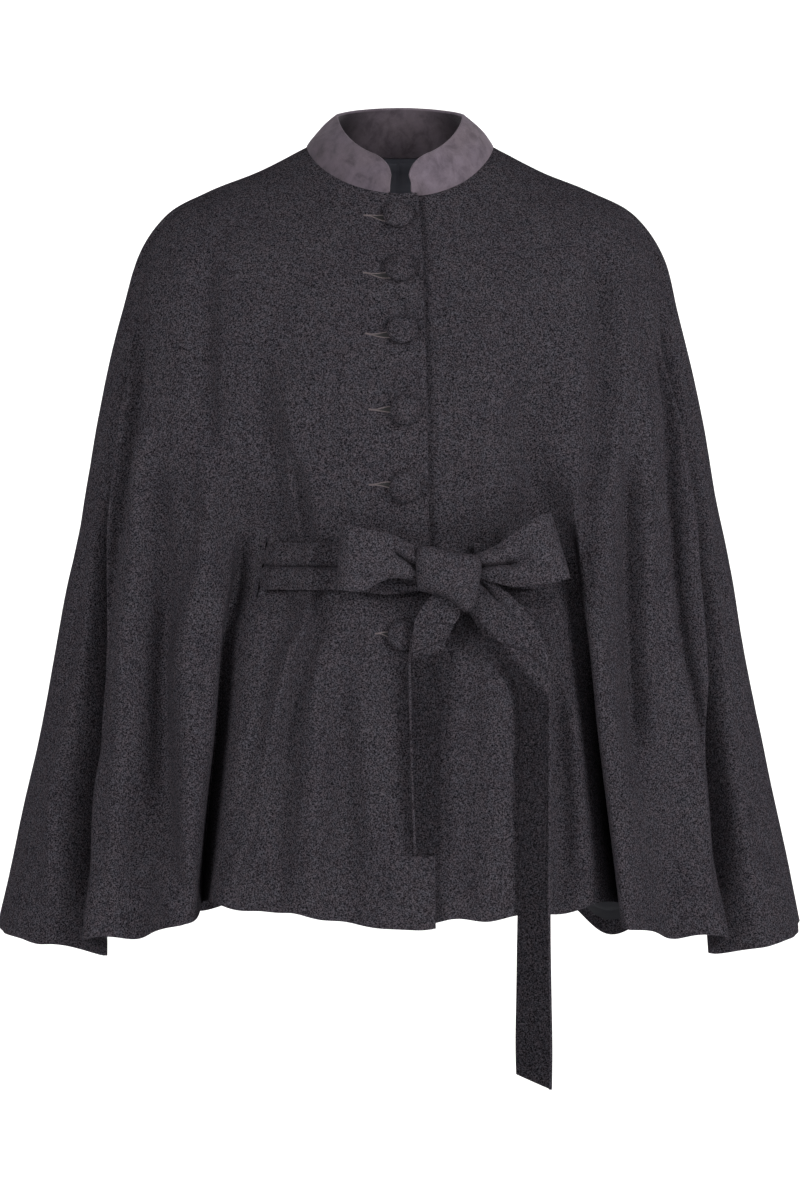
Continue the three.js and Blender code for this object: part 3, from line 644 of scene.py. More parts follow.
def tube(path, radius, sides=6):
    """Points and faces of a thin tube along a path."""
    path = np.asarray(path, float)
    along = unit(np.gradient(path, axis=0))
    side = unit(np.cross(along, np.array([0.13, 0.97, 0.21])))
    other = np.cross(along, side)
    around = np.linspace(0, 2 * np.pi, sides, endpoint=False)
    ring = side[:, None] * np.cos(around)[None, :, None] + other[:, None] * np.sin(around)[None, :, None]
    points = (path[:, None] + ring * radius).reshape(-1, 3)
    faces = []
    for i in range(len(path) - 1):
        for k in range(sides):
            a, b = i * sides + k, i * sides + (k + 1) % sides
            faces.append((a, b, b + sides, a + sides))
    faces.append(tuple(range(sides - 1, -1, -1)))
    faces.append(tuple((len(path) - 1) * sides + k for k in range(sides)))
    return points, faces


def joined(parts):
    """One set of points and faces from several."""
    points, faces, start = [], [], 0
    for part, links in parts:
        points.append(part)
        faces.extend(tuple(start + i for i in face) for face in links)
        start += len(part)
    return np.concatenate(points), faces


# Materials.
class Nodes:
    """Short hand for laying out one material's nodes."""

    def __init__(self, name):
        self.material = bpy.data.materials.new(name)
        self.material.use_nodes = True
        self.tree = self.material.node_tree
        self.shader = self.tree.nodes["Principled BSDF"]
        self.place = self.add("ShaderNodeTexCoord").outputs["Object"]

    def add(self, kind, **values):
        node = self.tree.nodes.new(kind)
        for key, value in values.items():
            setattr(node, key, value)
        return node

    def link(self, source, target):
        self.tree.links.new(source, target)

    def fill(self, sockets, values):
        """Set each socket to its number, or link it to its source."""
        for socket, value in zip(sockets, values):
            if isinstance(value, (int, float)):
                socket.default_value = value
            else:
                self.link(value, socket)

    def noise(self, scale, detail=2.0, rough=0.6, stretch=None, twist=(0, 0, 0), warp=0.0):
        node = self.add("ShaderNodeTexNoise")
        names = ("Scale", "Detail", "Roughness", "Distortion")
        self.fill([node.inputs[name] for name in names], (scale, detail, rough, warp))
        source = self.place
        if stretch:
            mapping = self.add("ShaderNodeMapping")
            mapping.inputs["Scale"].default_value = stretch
            mapping.inputs["Rotation"].default_value = twist
            self.link(source, mapping.inputs["Vector"])
            source = mapping.outputs["Vector"]
        self.link(source, node.inputs["Vector"])
        return node.outputs["Fac"]

    def ramp(self, source, stops):
        node = self.add("ShaderNodeValToRGB")
        elements = node.color_ramp.elements
        while len(elements) < len(stops):
            elements.new(0.5)
        for element, (place, colour) in zip(elements, stops):
            element.position = place
            element.color = (*colour, 1.0)
        self.link(source, node.inputs["Fac"])
        return node.outputs["Color"]

    def math(self, operation, a, b):
        node = self.add("ShaderNodeMath", operation=operation)
        self.fill(node.inputs, (a, b))
        return node.outputs["Value"]

    def multiply(self, share, a, b):
        node = self.add("ShaderNodeMix", data_type="RGBA", blend_type="MULTIPLY")
        self.fill([s for s in node.inputs if s.enabled], (share, a, b))
        return [s for s in node.outputs if s.enabled][0]

    def bump(self, height, strength, distance, below=None):
        node = self.add("ShaderNodeBump")
        names = ("Strength", "Distance", "Height")
        self.fill([node.inputs[name] for name in names], (strength, distance, height))
        if below is not None:
            self.link(below, node.inputs["Normal"])
        return node.outputs["Normal"]

    def faded(self, colour, way, low, high, dull):
        """The colour in painted shade, dull below the low place along a way through the object, whole above
        the high one.
        """
        along = self.add("ShaderNodeVectorMath", operation="DOT_PRODUCT")
        self.link(self.place, along.inputs[0])
        along.inputs[1].default_value = way
        level = self.add("ShaderNodeMapRange", interpolation_type="SMOOTHSTEP")
        self.fill(level.inputs[:5], (along.outputs["Value"], low, high, 0.0, 1.0))
        shade = self.ramp(level.outputs["Result"], [(0.0, (dull,) * 3), (1.0, (1.0,) * 3)])
        return self.multiply(1.0, colour, shade)

    def tinted(self, colour, share, source, *stops):
        """The colour, multiplied by a share of a ramp between (place, colour) stops."""
        return self.multiply(share, colour, self.ramp(source, stops))

    def set(self, **values):
        for key, value in values.items():
            self.shader.inputs[key.replace("_", " ")].default_value = value


def scaled(colour, share):
    """A lighter or darker colour."""
    return tuple(min(1.0, c * share) for c in colour)


def melange_wool(name, colours, fade=None, painted_light=1.0):
    """Charcoal melange coating: pale and dark fibres under a short nap. fade, when given, lays painted shade
    below a line through the object, and the last argument paints the whole cloth lighter, as painted light."""
    n = Nodes(name)
    # A share above 1 paints the whole cloth lighter, as painted light.
    dark, light = scaled(colours.wool_dark, painted_light), scaled(colours.wool_light, painted_light)
    middle = tuple((a * 0.62 + b * 0.38) for a, b in zip(dark, light))
    fibre = n.noise(1000, 2.0, 0.75, (1.0, 1.0, 0.6), (0.5, 0.3, 0.2), 0.4)
    cross = n.noise(1150, 2.0, 0.75, (0.55, 1.0, 1.0), (0.2, 0.7, 0.4), 0.4)
    flecks = n.math("MULTIPLY", n.math("ADD", fibre, cross), 0.5)
    colour = n.ramp(flecks, [(0.41, dark), (0.5, middle), (0.59, scaled(light, 1.15))])
    cloud = n.noise(26, 3.0, 0.6)
    colour = n.tinted(colour, 0.55, cloud, (0.3, (0.82, 0.80, 0.84)), (0.7, (1.0, 1.0, 1.0)))
    tint = n.noise(170, 2.0, 0.6)
    colour = n.tinted(colour, 0.6, tint, (0.35, (0.86, 0.93, 1.0)), (0.65, (1.0, 0.92, 0.94)))
    # Painted shade below a line through the object, where it is asked for.
    if fade:
        colour = n.faded(colour, *fade)
    n.link(colour, n.shader.inputs["Base Color"])
    nap = n.noise(900, 3.0, 0.75)
    normal = n.bump(flecks, 0.3, 0.0008, n.bump(nap, 0.2, 0.0005))
    n.link(normal, n.shader.inputs["Normal"])
    n.set(Roughness=1.0, IOR=1.0, Specular_IOR_Level=0.0)
    return n.material


def napped_suede(name, colours, inside=False):
    """Collar cloth: a short nap raised by brushing, with soft strokes in it, and painted shade over it."""
    n = Nodes(name)
    # The inside is the same suede painted darker, as painted shade.
    base = scaled(colours.suede, 0.62 if inside else 1.0)
    stroke = n.noise(84, 7.0, 0.66, (1.0, 1.0, 0.8), (0.2, 0.5, 0.3), 0.3)
    colour = n.ramp(stroke, [(0.34, scaled(base, 0.68)), (0.5, base), (0.66, scaled(base, 1.2))])
    tint = n.noise(24, 3.0, 0.6)
    colour = n.tinted(colour, 0.5, tint, (0.35, (0.95, 0.90, 1.0)), (0.65, (1.0, 0.93, 0.93)))
    # Painted shade: darker towards the wearer's right, away from the key light, and lower down.
    colour = n.faded(colour, (1.0, 0.0, 0.35), -0.11, 0.05, 0.62)
    # Painted shade: the inside darkens further towards both sides.
    if inside:
        for way in (1.0, -1.0):
            colour = n.faded(colour, (way, 0.0, 0.0), -0.056, -0.022, 0.24)
    fine = n.noise(1300, 2.0, 0.7)
    colour = n.tinted(colour, 0.5, fine, (0.3, (0.78, 0.76, 0.78)), (0.7, (1.0, 1.0, 1.0)))
    n.link(colour, n.shader.inputs["Base Color"])
    n.link(n.bump(fine, 0.3, 0.0005, n.bump(stroke, 0.22, 0.002)), n.shader.inputs["Normal"])
    n.set(Roughness=0.9, Sheen_Weight=0.2, Sheen_Roughness=0.5, Sheen_Tint=(0.95, 0.88, 0.95, 1.0),
          IOR=1.0, Specular_IOR_Level=0.0)
    return n.material


def satin_lining(name, colours):
    """Navy lining with a faint twill and soft creases."""
    n = Nodes(name)
    base = tuple(colours.lining)
    cloud = n.noise(30, 3.0, 0.6, (0.4, 0.4, 1.6))
    colour = n.ramp(cloud, [(0.3, scaled(base, 0.75)), (0.7, scaled(base, 1.3))])
    # Painted shade: the lining darkens towards the hem, where the inside of the cape lies in shadow.
    n.link(n.faded(colour, (0.0, 0.0, 1.0), -0.66, -0.2, 0.2), n.shader.inputs["Base Color"])
    twill = n.noise(1500, 1.0, 0.5, (0.3, 0.3, 1.4), (0.6, 0.5, 0.0))
    n.link(n.bump(cloud, 0.35, 0.004, n.bump(twill, 0.2, 0.0004)), n.shader.inputs["Normal"])
    n.set(Roughness=0.5, Specular_IOR_Level=0.22)
    return n.material


def thread_material(name, colour):
    """Twisted sewing thread."""
    n = Nodes(name)
    twist = n.noise(1800, 1.0, 0.5, (1.0, 1.0, 0.4), (0.0, 0.7, 0.0))
    strands = n.ramp(twist, [(0.3, scaled(colour, 0.55)), (0.7, scaled(colour, 1.15))])
    n.link(strands, n.shader.inputs["Base Color"])
    n.link(n.bump(twist, 0.5, 0.0004), n.shader.inputs["Normal"])
    n.set(Roughness=0.7, Sheen_Weight=0.2)
    return n.material


def material(name, make, *values):
    """The material of that name, made when it is first asked for."""
    found = bpy.data.materials.get(name)
    return found if found else make(name, *values)


def wool(scene):
    """Wool of the cape, its belt and its buttons."""
    return material("melange_wool", melange_wool, scene.cape_colours)


def bow_wool(scene):
    """Wool of the bow, painted lighter than the cape's to stand for the light its loops and knot catch."""
    return material("bow_wool", melange_wool, scene.cape_colours, None, 1.12)


def tail_wool(scene, name, slope, low, high):
    """Wool of a belt end, with painted shade below a line between two heights along a slope."""
    return material(name, melange_wool, scene.cape_colours, ((slope, 0.0, 1.0), low, high, 0.5))


def lining(scene):
    """Satin inside the cape."""
    return material("navy_lining", satin_lining, scene.cape_colours)


def suede(scene):
    """Nap of the collar's outside."""
    return material("mauve_suede", napped_suede, scene.cape_colours)


# Panels.
def edge_angle(x, down):
    """Line at which the plain form lies at each x, seen from the front."""
    return -np.degrees(np.arcsin(x / section("half_width", down)))


def lap_edge(down):
    """Where the free edge of the lap lies, seen from the front."""
    return LAP_TOP + (LAP_HEM - LAP_TOP) * np.sqrt(down)


def slit_place(sign):
    """Line of one belt slit, and its top and bottom as shares down."""
    low = SLIT["bottom"] if sign > 0 else SLIT["left_bottom"]
    top, bottom = front_at(-SLIT["x"], SLIT["top"]), front_at(-SLIT["x"], low)
    return (top[0] + bottom[0]) / 2, top[1], bottom[1]


def down_rows(sizes, marks):
    """Even rows from neck to hem, with the nearest ones moved onto the marks."""
    rows = np.linspace(0.0, 1.0, sizes.rows)
    for mark in marks:
        rows[np.argmin(np.abs(rows - mark))] = mark
    return rows


def seam_dip(grid, ends):
    """Draws the cloth in a little along the seams at the first or last column."""
    normal = grid_normals(grid)
    for end in ends:
        far = np.linalg.norm(grid - grid[:, [end]], axis=-1)
        grid = grid - normal * (SEAM["dip"] * bell(far, SEAM["spread"]))[..., None]
    return grid


def tucked(grid, end):
    """Draws the end column a little way under the next piece, so that the seam lets no light through."""
    beside = 1 if end == 0 else -2
    way = unit(grid[:, end] - grid[:, beside])
    grid[:, end] += way * SEAM["beside"] - grid_normals(grid)[:, end] * SEAM["under"]
    return grid


def front_grid(sign, sizes):
    """Outer grid of one front from its free edge to the side seam, the cells of its slit, and its rows."""
    lip, top, bottom = slit_place(sign)
    near = np.linspace(0, sign * (lip - SLIT["lip"]), COLUMNS["near"])
    far = spread(sign * (lip + SLIT["lip"]), sign * SEAM_ANGLE, COLUMNS["far"])
    lines = np.concatenate([near, far])
    down = down_rows(sizes, (top, bottom))
    share = np.clip(1 - lines / near[-1], 0, 1)
    free = edge_angle(lap_edge(down) if sign > 0 else UNDER_EDGE, down)
    hem = lines[None, :] + free[:, None] * share[None, :]
    levels = np.broadcast_to(down[:, None], hem.shape)
    grid = drape_points(hem, levels, sizes)
    beside = (grid[..., 0] - lap_edge(levels)) * sign
    low_down = smooth((levels - 0.45) / 0.3)
    edge = LAP if sign > 0 else UNDER
    pressed = bell(beside, edge["spread"])
    if sign > 0:
        raised = (LAP["out"] + LAP["more"] * low_down) * pressed * smooth(levels / 0.03)
    else:
        raised = -(sizes.cloth / MM + UNDER["gap"]) * (1 - smooth((grid[..., 0] - 40) / 60))
        raised = raised - (UNDER["dip"] + UNDER["more"] * low_down) * pressed
    corner = edge["corner"] * bell(beside, CORNER_SPREAD)
    grid[..., 2] += corner * smooth((levels - 0.86) / 0.14)
    to_slit = (np.abs(np.abs(lines) - lip) - SLIT["lip"])[None, :] * LIPS["degree"]
    middle = (SLIT["top"] + SLIT["bottom"]) / 2
    past_ends = np.maximum(np.abs(grid[..., 2] - middle) - LIPS["half"], 0)
    raised = raised + LIPS["out"] * np.exp(-(to_slit / LIPS["spread"]) ** 2 - (past_ends / LIPS["fade"]) ** 2)
    grid = grid + grid_normals(grid) * (raised * sign)[..., None]
    hole = np.zeros((len(down) - 1, len(lines) - 1), bool)
    first, last = np.argmin(np.abs(down - top)), np.argmin(np.abs(down - bottom))
    hole[first:last, len(near) - 1] = True
    return grid, hole, down


def facing(down, edge_columns=0, last=None):
    """Inside finish: lining, with wool along the hem and the free edge at the first column or the last."""
    def finish(r, c):
        from_edge = c if last is None else last - c
        return np.where((down[r] > FACING_DOWN) | (from_edge < edge_columns), 0, 1)
    return finish


class CAPE_OT_fronts(bpy.types.Operator):
    """Make the two lapped fronts with their belt slits"""
    bl_idname = "cape.fronts"
    bl_label = "Fronts"

    def execute(self, context):
        scene, sizes = context.scene, context.scene.cape_sizes
        for name, sign in (("right_front", 1), ("left_front", -1)):
            grid, hole, down = front_grid(sign, sizes)
            seam, last = -1, None
            if sign < 0:
                grid, hole = grid[:, ::-1], hole[:, ::-1]
                seam, last = 0, hole.shape[1] - 1
            grid = tucked(seam_dip(grid, (seam,)), seam)
            piece = cloth_wall(name + "_cloth", grid, sizes.cloth / MM, [wool(scene), lining(scene)], hole,
                               facing(down, COLUMNS["facing"], last))
            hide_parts(name)
        return {"FINISHED"}


class CAPE_OT_back(bpy.types.Operator):
    """Make the back and its lining"""
    bl_idname = "cape.back"
    bl_label = "Back and lining"

    def execute(self, context):
        scene, sizes = context.scene, context.scene.cape_sizes
        down = down_rows(sizes, (FACING_DOWN,))
        lines = spread(SEAM_ANGLE, 360 - SEAM_ANGLE, COLUMNS["back"])
        hem, levels = np.meshgrid(lines, down)
        grid = seam_dip(drape_points(hem, levels, sizes), (0, -1))
        piece = cloth_wall("back_cloth", grid, sizes.cloth / MM, [wool(scene), lining(scene)], None,
                           facing(down))
        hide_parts("back")
        rows = (down > LINING["start"]) & (down < FACING_DOWN)
        cloth = grid - grid_normals(grid) * (sizes.cloth / MM + LINING["gap"])
        cloth = cloth[rows][:, 2:-2]
        hem, levels = hem[rows][:, 2:-2], levels[rows][:, 2:-2]
        near = bell(hem - 180, 40) * np.exp(-levels / 0.12)
        pleat = -1.6 * bell(hem - 180.5, 1.0) * np.exp(-levels / 0.3)
        ripple = near * (np.sin(levels * 210 + hem * 0.05) + 0.6 * np.sin(levels * 330 + hem * 0.09)) * 1.2
        cloth = cloth - grid_normals(cloth) * (pleat + ripple + 1.2 * near)[..., None]
        piece = cloth_wall("back_lining_cloth", cloth, LINING["wall"], [lining(scene)], edge=0.0003)
        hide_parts("back_lining")
        return {"FINISHED"}


# Collar.
def collar_points(angle, up):
    """Points of the stand collar between the neck seam and its top ring, lower at its rounded ends."""
    low = plain_points(angle, np.zeros_like(angle))
    high = ring_points(angle, lambda name: COLLAR_TOP[name])
    nearest = np.minimum(angle - COLLAR["left"], COLLAR["right"] - angle) * 1.45
    round_off = 1 - np.clip(nearest / COLLAR["corner"], 0, 1)
    tall = COLLAR["end"] + (1 - COLLAR["end"]) * np.sqrt(1 - round_off ** 2)
    way = high - low
    share = COLLAR["rise"] / np.linalg.norm(way, axis=-1) + up * tall
    swell = 3.2 * np.sin(np.pi * np.clip(share, 0, 1)) + 24.0 * np.minimum(share, 0)
    outward = unit(low * np.array([1.0, 1.0, 0.0]))
    return low + way * share[..., None] + outward * swell[..., None]


class CAPE_OT_collar(bpy.types.Operator):
    """Make the stand collar"""
    bl_idname = "cape.collar"
    bl_label = "Collar"

    def execute(self, context):
        scene = context.scene
        t = np.linspace(0, 1, 220)
        ends = 0.5 - 0.5 * np.cos(np.pi * t)
        angle = COLLAR["left"] + (COLLAR["right"] - COLLAR["left"]) * (0.35 * ends + 0.65 * t)
        angle, up = np.meshgrid(angle, np.concatenate([[-0.14, -0.06], np.linspace(0, 1, 30)]))
        grid = collar_points(angle, up)
        wander = 0.5 * np.sin(angle * 0.11 + up * 3.0) + 0.3 * np.sin(angle * 0.23 + up * 5.0 + 1.0)
        grid = grid[::-1]
        grid = grid + grid_normals(grid) * (wander * np.sin(np.pi * np.clip(up, 0, 1)))[::-1][..., None]
        # The collar's inside is the suede with painted shade.
        inside = material("mauve_suede_inside", napped_suede, scene.cape_colours, True)
        piece = cloth_wall("stand_collar", grid, COLLAR["wall"], [suede(scene), inside], None,
                           lambda r, c: np.ones(len(r), int), 0.0009)
        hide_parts("collar")
        middle = grid - grid_normals(grid) * COLLAR["wall"] / 2
        edge = np.concatenate([middle[-3::-1, 0], middle[0, 1:-1], middle[:-2, -1]])
        points, faces = tube(edge, 1.35, 8)
        rim = new_piece("collar_turned_edge", points, faces, [suede(scene)])
        return {"FINISHED"}


# Buttons and buttonholes.
def seat_on_front(x, z, off, sizes):
    """Place off the front at (x, z), and the outward way there."""
    hem, down = front_at(x, z)
    point = drape_points(hem, down, sizes)
    _, _, out = frame_of(cape_points, np.array(hem), np.array(down), *DRAPED_STEP)
    return point + out * off, out


class CAPE_OT_buttons(bpy.types.Operator):
    """Make the covered buttons"""
    bl_idname = "cape.buttons"
    bl_label = "Buttons"

    def execute(self, context):
        scene, sizes = context.scene, context.scene.cape_sizes
        radius, high = sizes.button / MM, BUTTON["high"]
        around = np.linspace(0, 2 * np.pi, BUTTON["sides"], endpoint=False)
        for number, (x, z, _, _) in enumerate(BUTTONS, 1):
            seat, out = seat_on_front(x, z, BUTTON["off"], sizes)
            turn = Vector((0, 0, 1)).rotation_difference(Vector(out)).to_matrix()
            rings = []
            for r, h in BUTTON_PROFILE[1:-1]:
                wide = radius * r * (1 + 0.012 * np.sin(around * 5 + number) * (1 - h))
                lump = high * h + 0.18 * np.sin(around * 3 + number * 1.7) * r
                rings.append(np.stack([wide * np.cos(around), wide * np.sin(around), lump], -1))
            points, faces = ring_body(rings, (0, 0, 0), (0, 0, high))
            points = points @ np.array(turn).T + seat
            piece = new_piece(f"covered_button_{number}", points, faces, [wool(scene)])
            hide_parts(f"button_{number}")
        return {"FINISHED"}


class CAPE_OT_buttonholes(bpy.types.Operator):
    """Work the buttonholes beside the buttons"""
    bl_idname = "cape.buttonholes"
    bl_label = "Buttonholes"

    def execute(self, context):
        scene, sizes = context.scene, context.scene.cape_sizes
        thread = material("buttonhole_thread", thread_material, tuple(scene.cape_colours.thread))
        dark = material("hole_shadow", thread_material, (0.006, 0.005, 0.006))
        for number, (x, _, hole_x, hole_z) in enumerate(BUTTONS, 1):
            t = np.linspace(0, 1, HOLE["steps"])
            along = hole_x + (x - HOLE["under"] - hole_x) * t
            open_by = HOLE["open"] * smooth((t - 0.15) / 0.6) + 0.3
            rise = hole_z + HOLE["rise"] * (1 - t) + 0.8 * np.sin(t * 5 + number)
            sides = [on_front(along, rise + way * open_by, HOLE["off"], sizes) for way in (-1, 1)]
            points, faces = joined([tube(side, HOLE["thread"]) for side in sides])
            piece = new_piece(f"buttonhole_{number}", points, faces, [thread])
            lips = np.concatenate([sides[0], sides[1][::-1]]) + np.array([0, 0.2, 0])
            last = len(lips) - 1
            strip = [(k, k + 1, last - 1 - k, last - k) for k in range(HOLE["steps"] - 1)]
            piece = new_piece(f"buttonhole_slit_{number}", lips, strip, [dark])
        return {"FINISHED"}


class CAPE_OT_slit_stitching(bpy.types.Operator):
    """Stitch round the belt slits"""
    bl_idname = "cape.slit_stitching"
    bl_label = "Slit stitching"

    def execute(self, context):
        sizes = context.scene.cape_sizes
        thread = material("slit_thread", thread_material, (0.02, 0.018, 0.02))
        for name, sign in (("right", 1), ("left", -1)):
            parts = []
            lip, top, bottom = slit_place(sign)
            down = np.linspace(top - STITCH["past"], bottom + STITCH["past"], STITCH["steps"])
            for beside in STITCH["beside"]:
                hem = np.full(len(down), sign * (lip + beside))
                _, _, out = frame_of(cape_points, hem, down, *DRAPED_STEP)
                line = drape_points(hem, down, sizes) + out * STITCH["off"]
                for k in range(0, len(down) - STITCH["long"] + 1, STITCH["every"]):
                    parts.append(tube(line[k:k + STITCH["long"]], STITCH["thread"]))
            points, faces = joined(parts)
            piece = new_piece(f"slit_stitches_{name}", points, faces, [thread])
        return {"FINISHED"}


# Belt and bow.
def ribbon(name, mid, across, width, thick, materials, shape=None, lines=25):
    """A strip of belt cloth along its middle line. shape gives how far each place stands out, from its share
    along, its share across, and where it lies seen from the front."""
    along = unit(np.gradient(mid, axis=0))
    out = unit(np.cross(across, along))
    out = out * -np.sign(out[len(out) // 8, 1])
    share = np.linspace(-0.5, 0.5, lines)
    grid = mid[:, None] + across[:, None] * (width[:, None] * share[None, :])[..., None]
    if shape is not None:
        s = np.linspace(0, 1, len(mid))
        grid = grid + out[:, None] * shape(s[:, None], share[None, :], grid[..., 0], grid[..., 2])[..., None]
    normal = unit(np.cross(np.gradient(grid, axis=1), np.gradient(grid, axis=0)))
    facing_out = np.sum(normal * out[:, None], -1, keepdims=True)
    normal = normal * np.sign(np.where(facing_out == 0, 1, facing_out))
    outer, inner = grid + normal * thick / 2, grid - normal * thick / 2
    return closed_wall(name, outer, inner, materials)


def stations(table, count):
    """Columns of a table of stations, drawn out smoothly."""
    keys = np.arange(len(table), dtype=float)
    at = np.linspace(0, len(table) - 1, count)
    return [along_table(keys, table[:, k], at) for k in range(table.shape[1])]


def belt_across(side, tilt):
    """Way across the belt, which leans where it goes through the slit on one side."""
    return unit(np.stack([-BELT["lean_x"] * side * tilt, BELT["lean_y"] * tilt, np.ones_like(tilt)], -1))


class CAPE_OT_belt(bpy.types.Operator):
    """Make the belt's stretches on the front and inside round the waist"""
    bl_idname = "cape.belt"
    bl_label = "Belt"

    def execute(self, context):
        scene, sizes = context.scene, context.scene.cape_sizes
        ends = {}
        for name, sign, start in (("belt_right", -1, 20.0), ("belt_left", 1, 66.0)):
            seat = BELT["gap"] + BELT["cloth"] / 2
            across_front = np.linspace(start, sign * (SLIT["x"] - 11), 9)
            lie = over_front(across_front, BELT["z"], 0, BELT["width"] / 2, seat, sizes)
            hole = on_front(sign * SLIT["x"], BELT["z"], -sizes.cloth / MM / 2, sizes)
            dive = [(sign * (SLIT["x"] + x), hole[1] + y, BELT["z"]) for x, y in BELT_DIVE]
            path = np.array([*lie, *dive])
            far = np.concatenate([[0], np.cumsum(steps(path))])
            at = np.linspace(0, far[-1], 90)
            mid = np.stack([along_table(far, path[:, k], at) for k in range(3)], -1)
            across = belt_across(sign, smooth((sign * mid[:, 0] - 70) / 45))
            width = np.full(len(mid), BELT["width"])

            def creased(s, w, x, z):
                groove = -3.0 * bell(w - 0.01 + 0.02 * np.sin(s * 5), 0.045)
                strips = 1.4 * np.abs(np.sin(2 * np.pi * w))
                return groove + strips + 0.5 * np.sin(s * 9 + w * 4)

            piece = ribbon(name + "_cloth", mid, across, width, BELT["cloth"] * 0.8, [wool(scene)],
                           creased if sign < 0 else None, 41)
            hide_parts(name)
            ends[sign] = mid[-1]
        t = np.linspace(0, 1, 120)
        bend = np.sin(np.pi * t)
        end_y = ends[-1][1] + (ends[1][1] - ends[-1][1]) * t + 0.6
        round_y = end_y + (BELT["back_y"] - end_y) * bend ** 0.8
        mid = np.stack([ends[-1][0] * np.cos(np.pi * t), round_y, BELT["z"] + 8 * bend], -1)
        across = belt_across(np.sign(mid[:, 0]), 1 - smooth(bend / 0.5))
        width = np.full(len(mid), BELT["width"])
        piece = ribbon("belt_back_cloth", mid, across, width, BELT["cloth"] * 0.8, [wool(scene)],
                       lambda s, w, x, z: 0.8 * np.sin(s * 14 + w * 3) - 1.2 * bell(w, 0.04))
        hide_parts("belt_back")
        return {"FINISHED"}


class CAPE_OT_bow(bpy.types.Operator):
    """Make the bow's loops and knot"""
    bl_idname = "cape.bow"
    bl_label = "Bow"

    def execute(self, context):
        scene = context.scene
        for name, table in (("bow_loop_right", LOOP_RIGHT), ("bow_loop_left", LOOP_LEFT)):
            x, y, z, tilt_x, tilt_z, width, bulge = stations(table, STATIONS)
            across = unit(np.stack([tilt_x, np.zeros_like(x), tilt_z], -1))

            def formed(s, w, at_x, at_z, bulge=bulge):
                swell = bulge[:, None] * (0.25 - w * w) * 4 + 0.6 * np.sin(s * 21 + w * 5)
                return swell + line_creases(BOW_CREASES, at_x, at_z) * smooth((0.52 - s) / 0.06)

            mid = np.stack([x, y, z], -1)
            # The bow's wool is painted lighter than the cape's, as painted light.
            piece = ribbon(name + "_cloth", mid, across, width, BELT["cloth"] * 0.85, [bow_wool(scene)],
                           formed, 49)
            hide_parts(name)

        keys = np.arange(len(KNOT_OUTLINE) + 6, dtype=float) - 3
        loop = np.vstack([KNOT_OUTLINE[-3:], KNOT_OUTLINE, KNOT_OUTLINE[:3]])
        at = np.linspace(0, len(KNOT_OUTLINE), KNOT["sides"], endpoint=False)
        edge_x = along_table(keys, loop[:, 0], at) - KNOT["x"]
        edge_z = along_table(keys, loop[:, 1], at) - KNOT["z"]
        rings = []
        for level in np.sin(np.linspace(-np.pi / 2, np.pi / 2, KNOT["levels"])[1:-1]):
            share = (1 - abs(level) ** 3.2) ** KNOT["pillow"]
            x, z = edge_x * share, edge_z * share
            wrap = line_creases(KNOT_CREASES, KNOT["x"] + x, KNOT["z"] + z)
            wrap = wrap + 0.8 * np.sin(z * 0.15 + x * 0.08 + 0.6)
            y = KNOT["y"] - KNOT["deep"] * level - wrap * smooth((level + 0.2) / 0.8)
            rings.append(np.stack([KNOT["x"] + x, y, KNOT["z"] + z], -1))
        points, faces = ring_body(rings, (KNOT["x"], KNOT["y"] + KNOT["deep"], KNOT["z"]),
                                  (KNOT["x"], KNOT["y"] - KNOT["deep"] - 1.0, KNOT["z"]))
        faces = [(face[0], *face[:0:-1]) for face in faces]
        piece = new_piece("bow_knot_wrap", points, faces, [bow_wool(scene)])
        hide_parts("bow_knot")
        return {"FINISHED"}


class CAPE_OT_tails(bpy.types.Operator):
    """Make the two hanging belt ends"""
    bl_idname = "cape.tails"
    bl_label = "Belt ends"

    def execute(self, context):
        scene, sizes = context.scene, context.scene.cape_sizes
        # Each end: its name, its table, the slope and heights of its painted shade, and the side of its
        # rolled edge.
        for name, table, painted_shade_line, rolled in (
                ("belt_tail_short", TAIL_SHORT, (-0.15, -0.474, -0.464), -0.5),
                ("belt_tail_long", TAIL_LONG, (1.118, -0.362, -0.350), 0.5)):
            deep = over_front(table[:, 0], table[:, 1], table[:, 2] / 2, 12, table[:, 3], sizes)[:, 1]
            x, z, width, _, tilt_x, tilt_z, turn, y = stations(np.column_stack([table, deep]), STATIONS)
            mid = np.stack([x, y, z], -1)
            turn = np.radians(turn)
            across = unit(np.stack([tilt_x * np.cos(turn), np.sin(turn), tilt_z], -1))

            def formed(s, w, at_x, at_z, long=name.endswith("long")):
                roll = 0.8 * (0.25 - w * w) * 4
                if long:
                    over = 3.2 * smooth((0.222 + 0.18 * (w + 0.5) - s) / 0.022)
                    ridge = 3.0 * bell(w - 0.40, 0.10) * bell(s - 0.10, 0.12)
                    crease = -4.5 * bell(w - 0.22, 0.06) * bell(s - 0.07, 0.09)
                    return roll + over + ridge + crease + 0.6 * np.sin(s * 15 + w * 2)
                over = 3.0 * smooth((0.44 - 0.05 * w - s) / 0.02)
                lobe = 2.6 * smooth((0.275 - 0.03 * w + 0.25 * w * w - s) / 0.02)
                return roll + over + lobe + 0.5 * np.sin(s * 11 + w * 3)

            # The end's wool has painted shade on its lower part, where it turns away from the light.
            cloth = tail_wool(scene, name + "_wool", *painted_shade_line)
            piece = ribbon(name + "_cloth", mid, across, width, 3.0, [cloth], formed, 41)
            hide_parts(name)
            edge = mid + across * (width * rolled)[:, None] - np.array([0, 0.8, 0])
            points, faces = tube(edge[60:], 1.5, 8)
            new_piece(name + "_rolled_edge", points, faces, [wool(scene)])
        return {"FINISHED"}


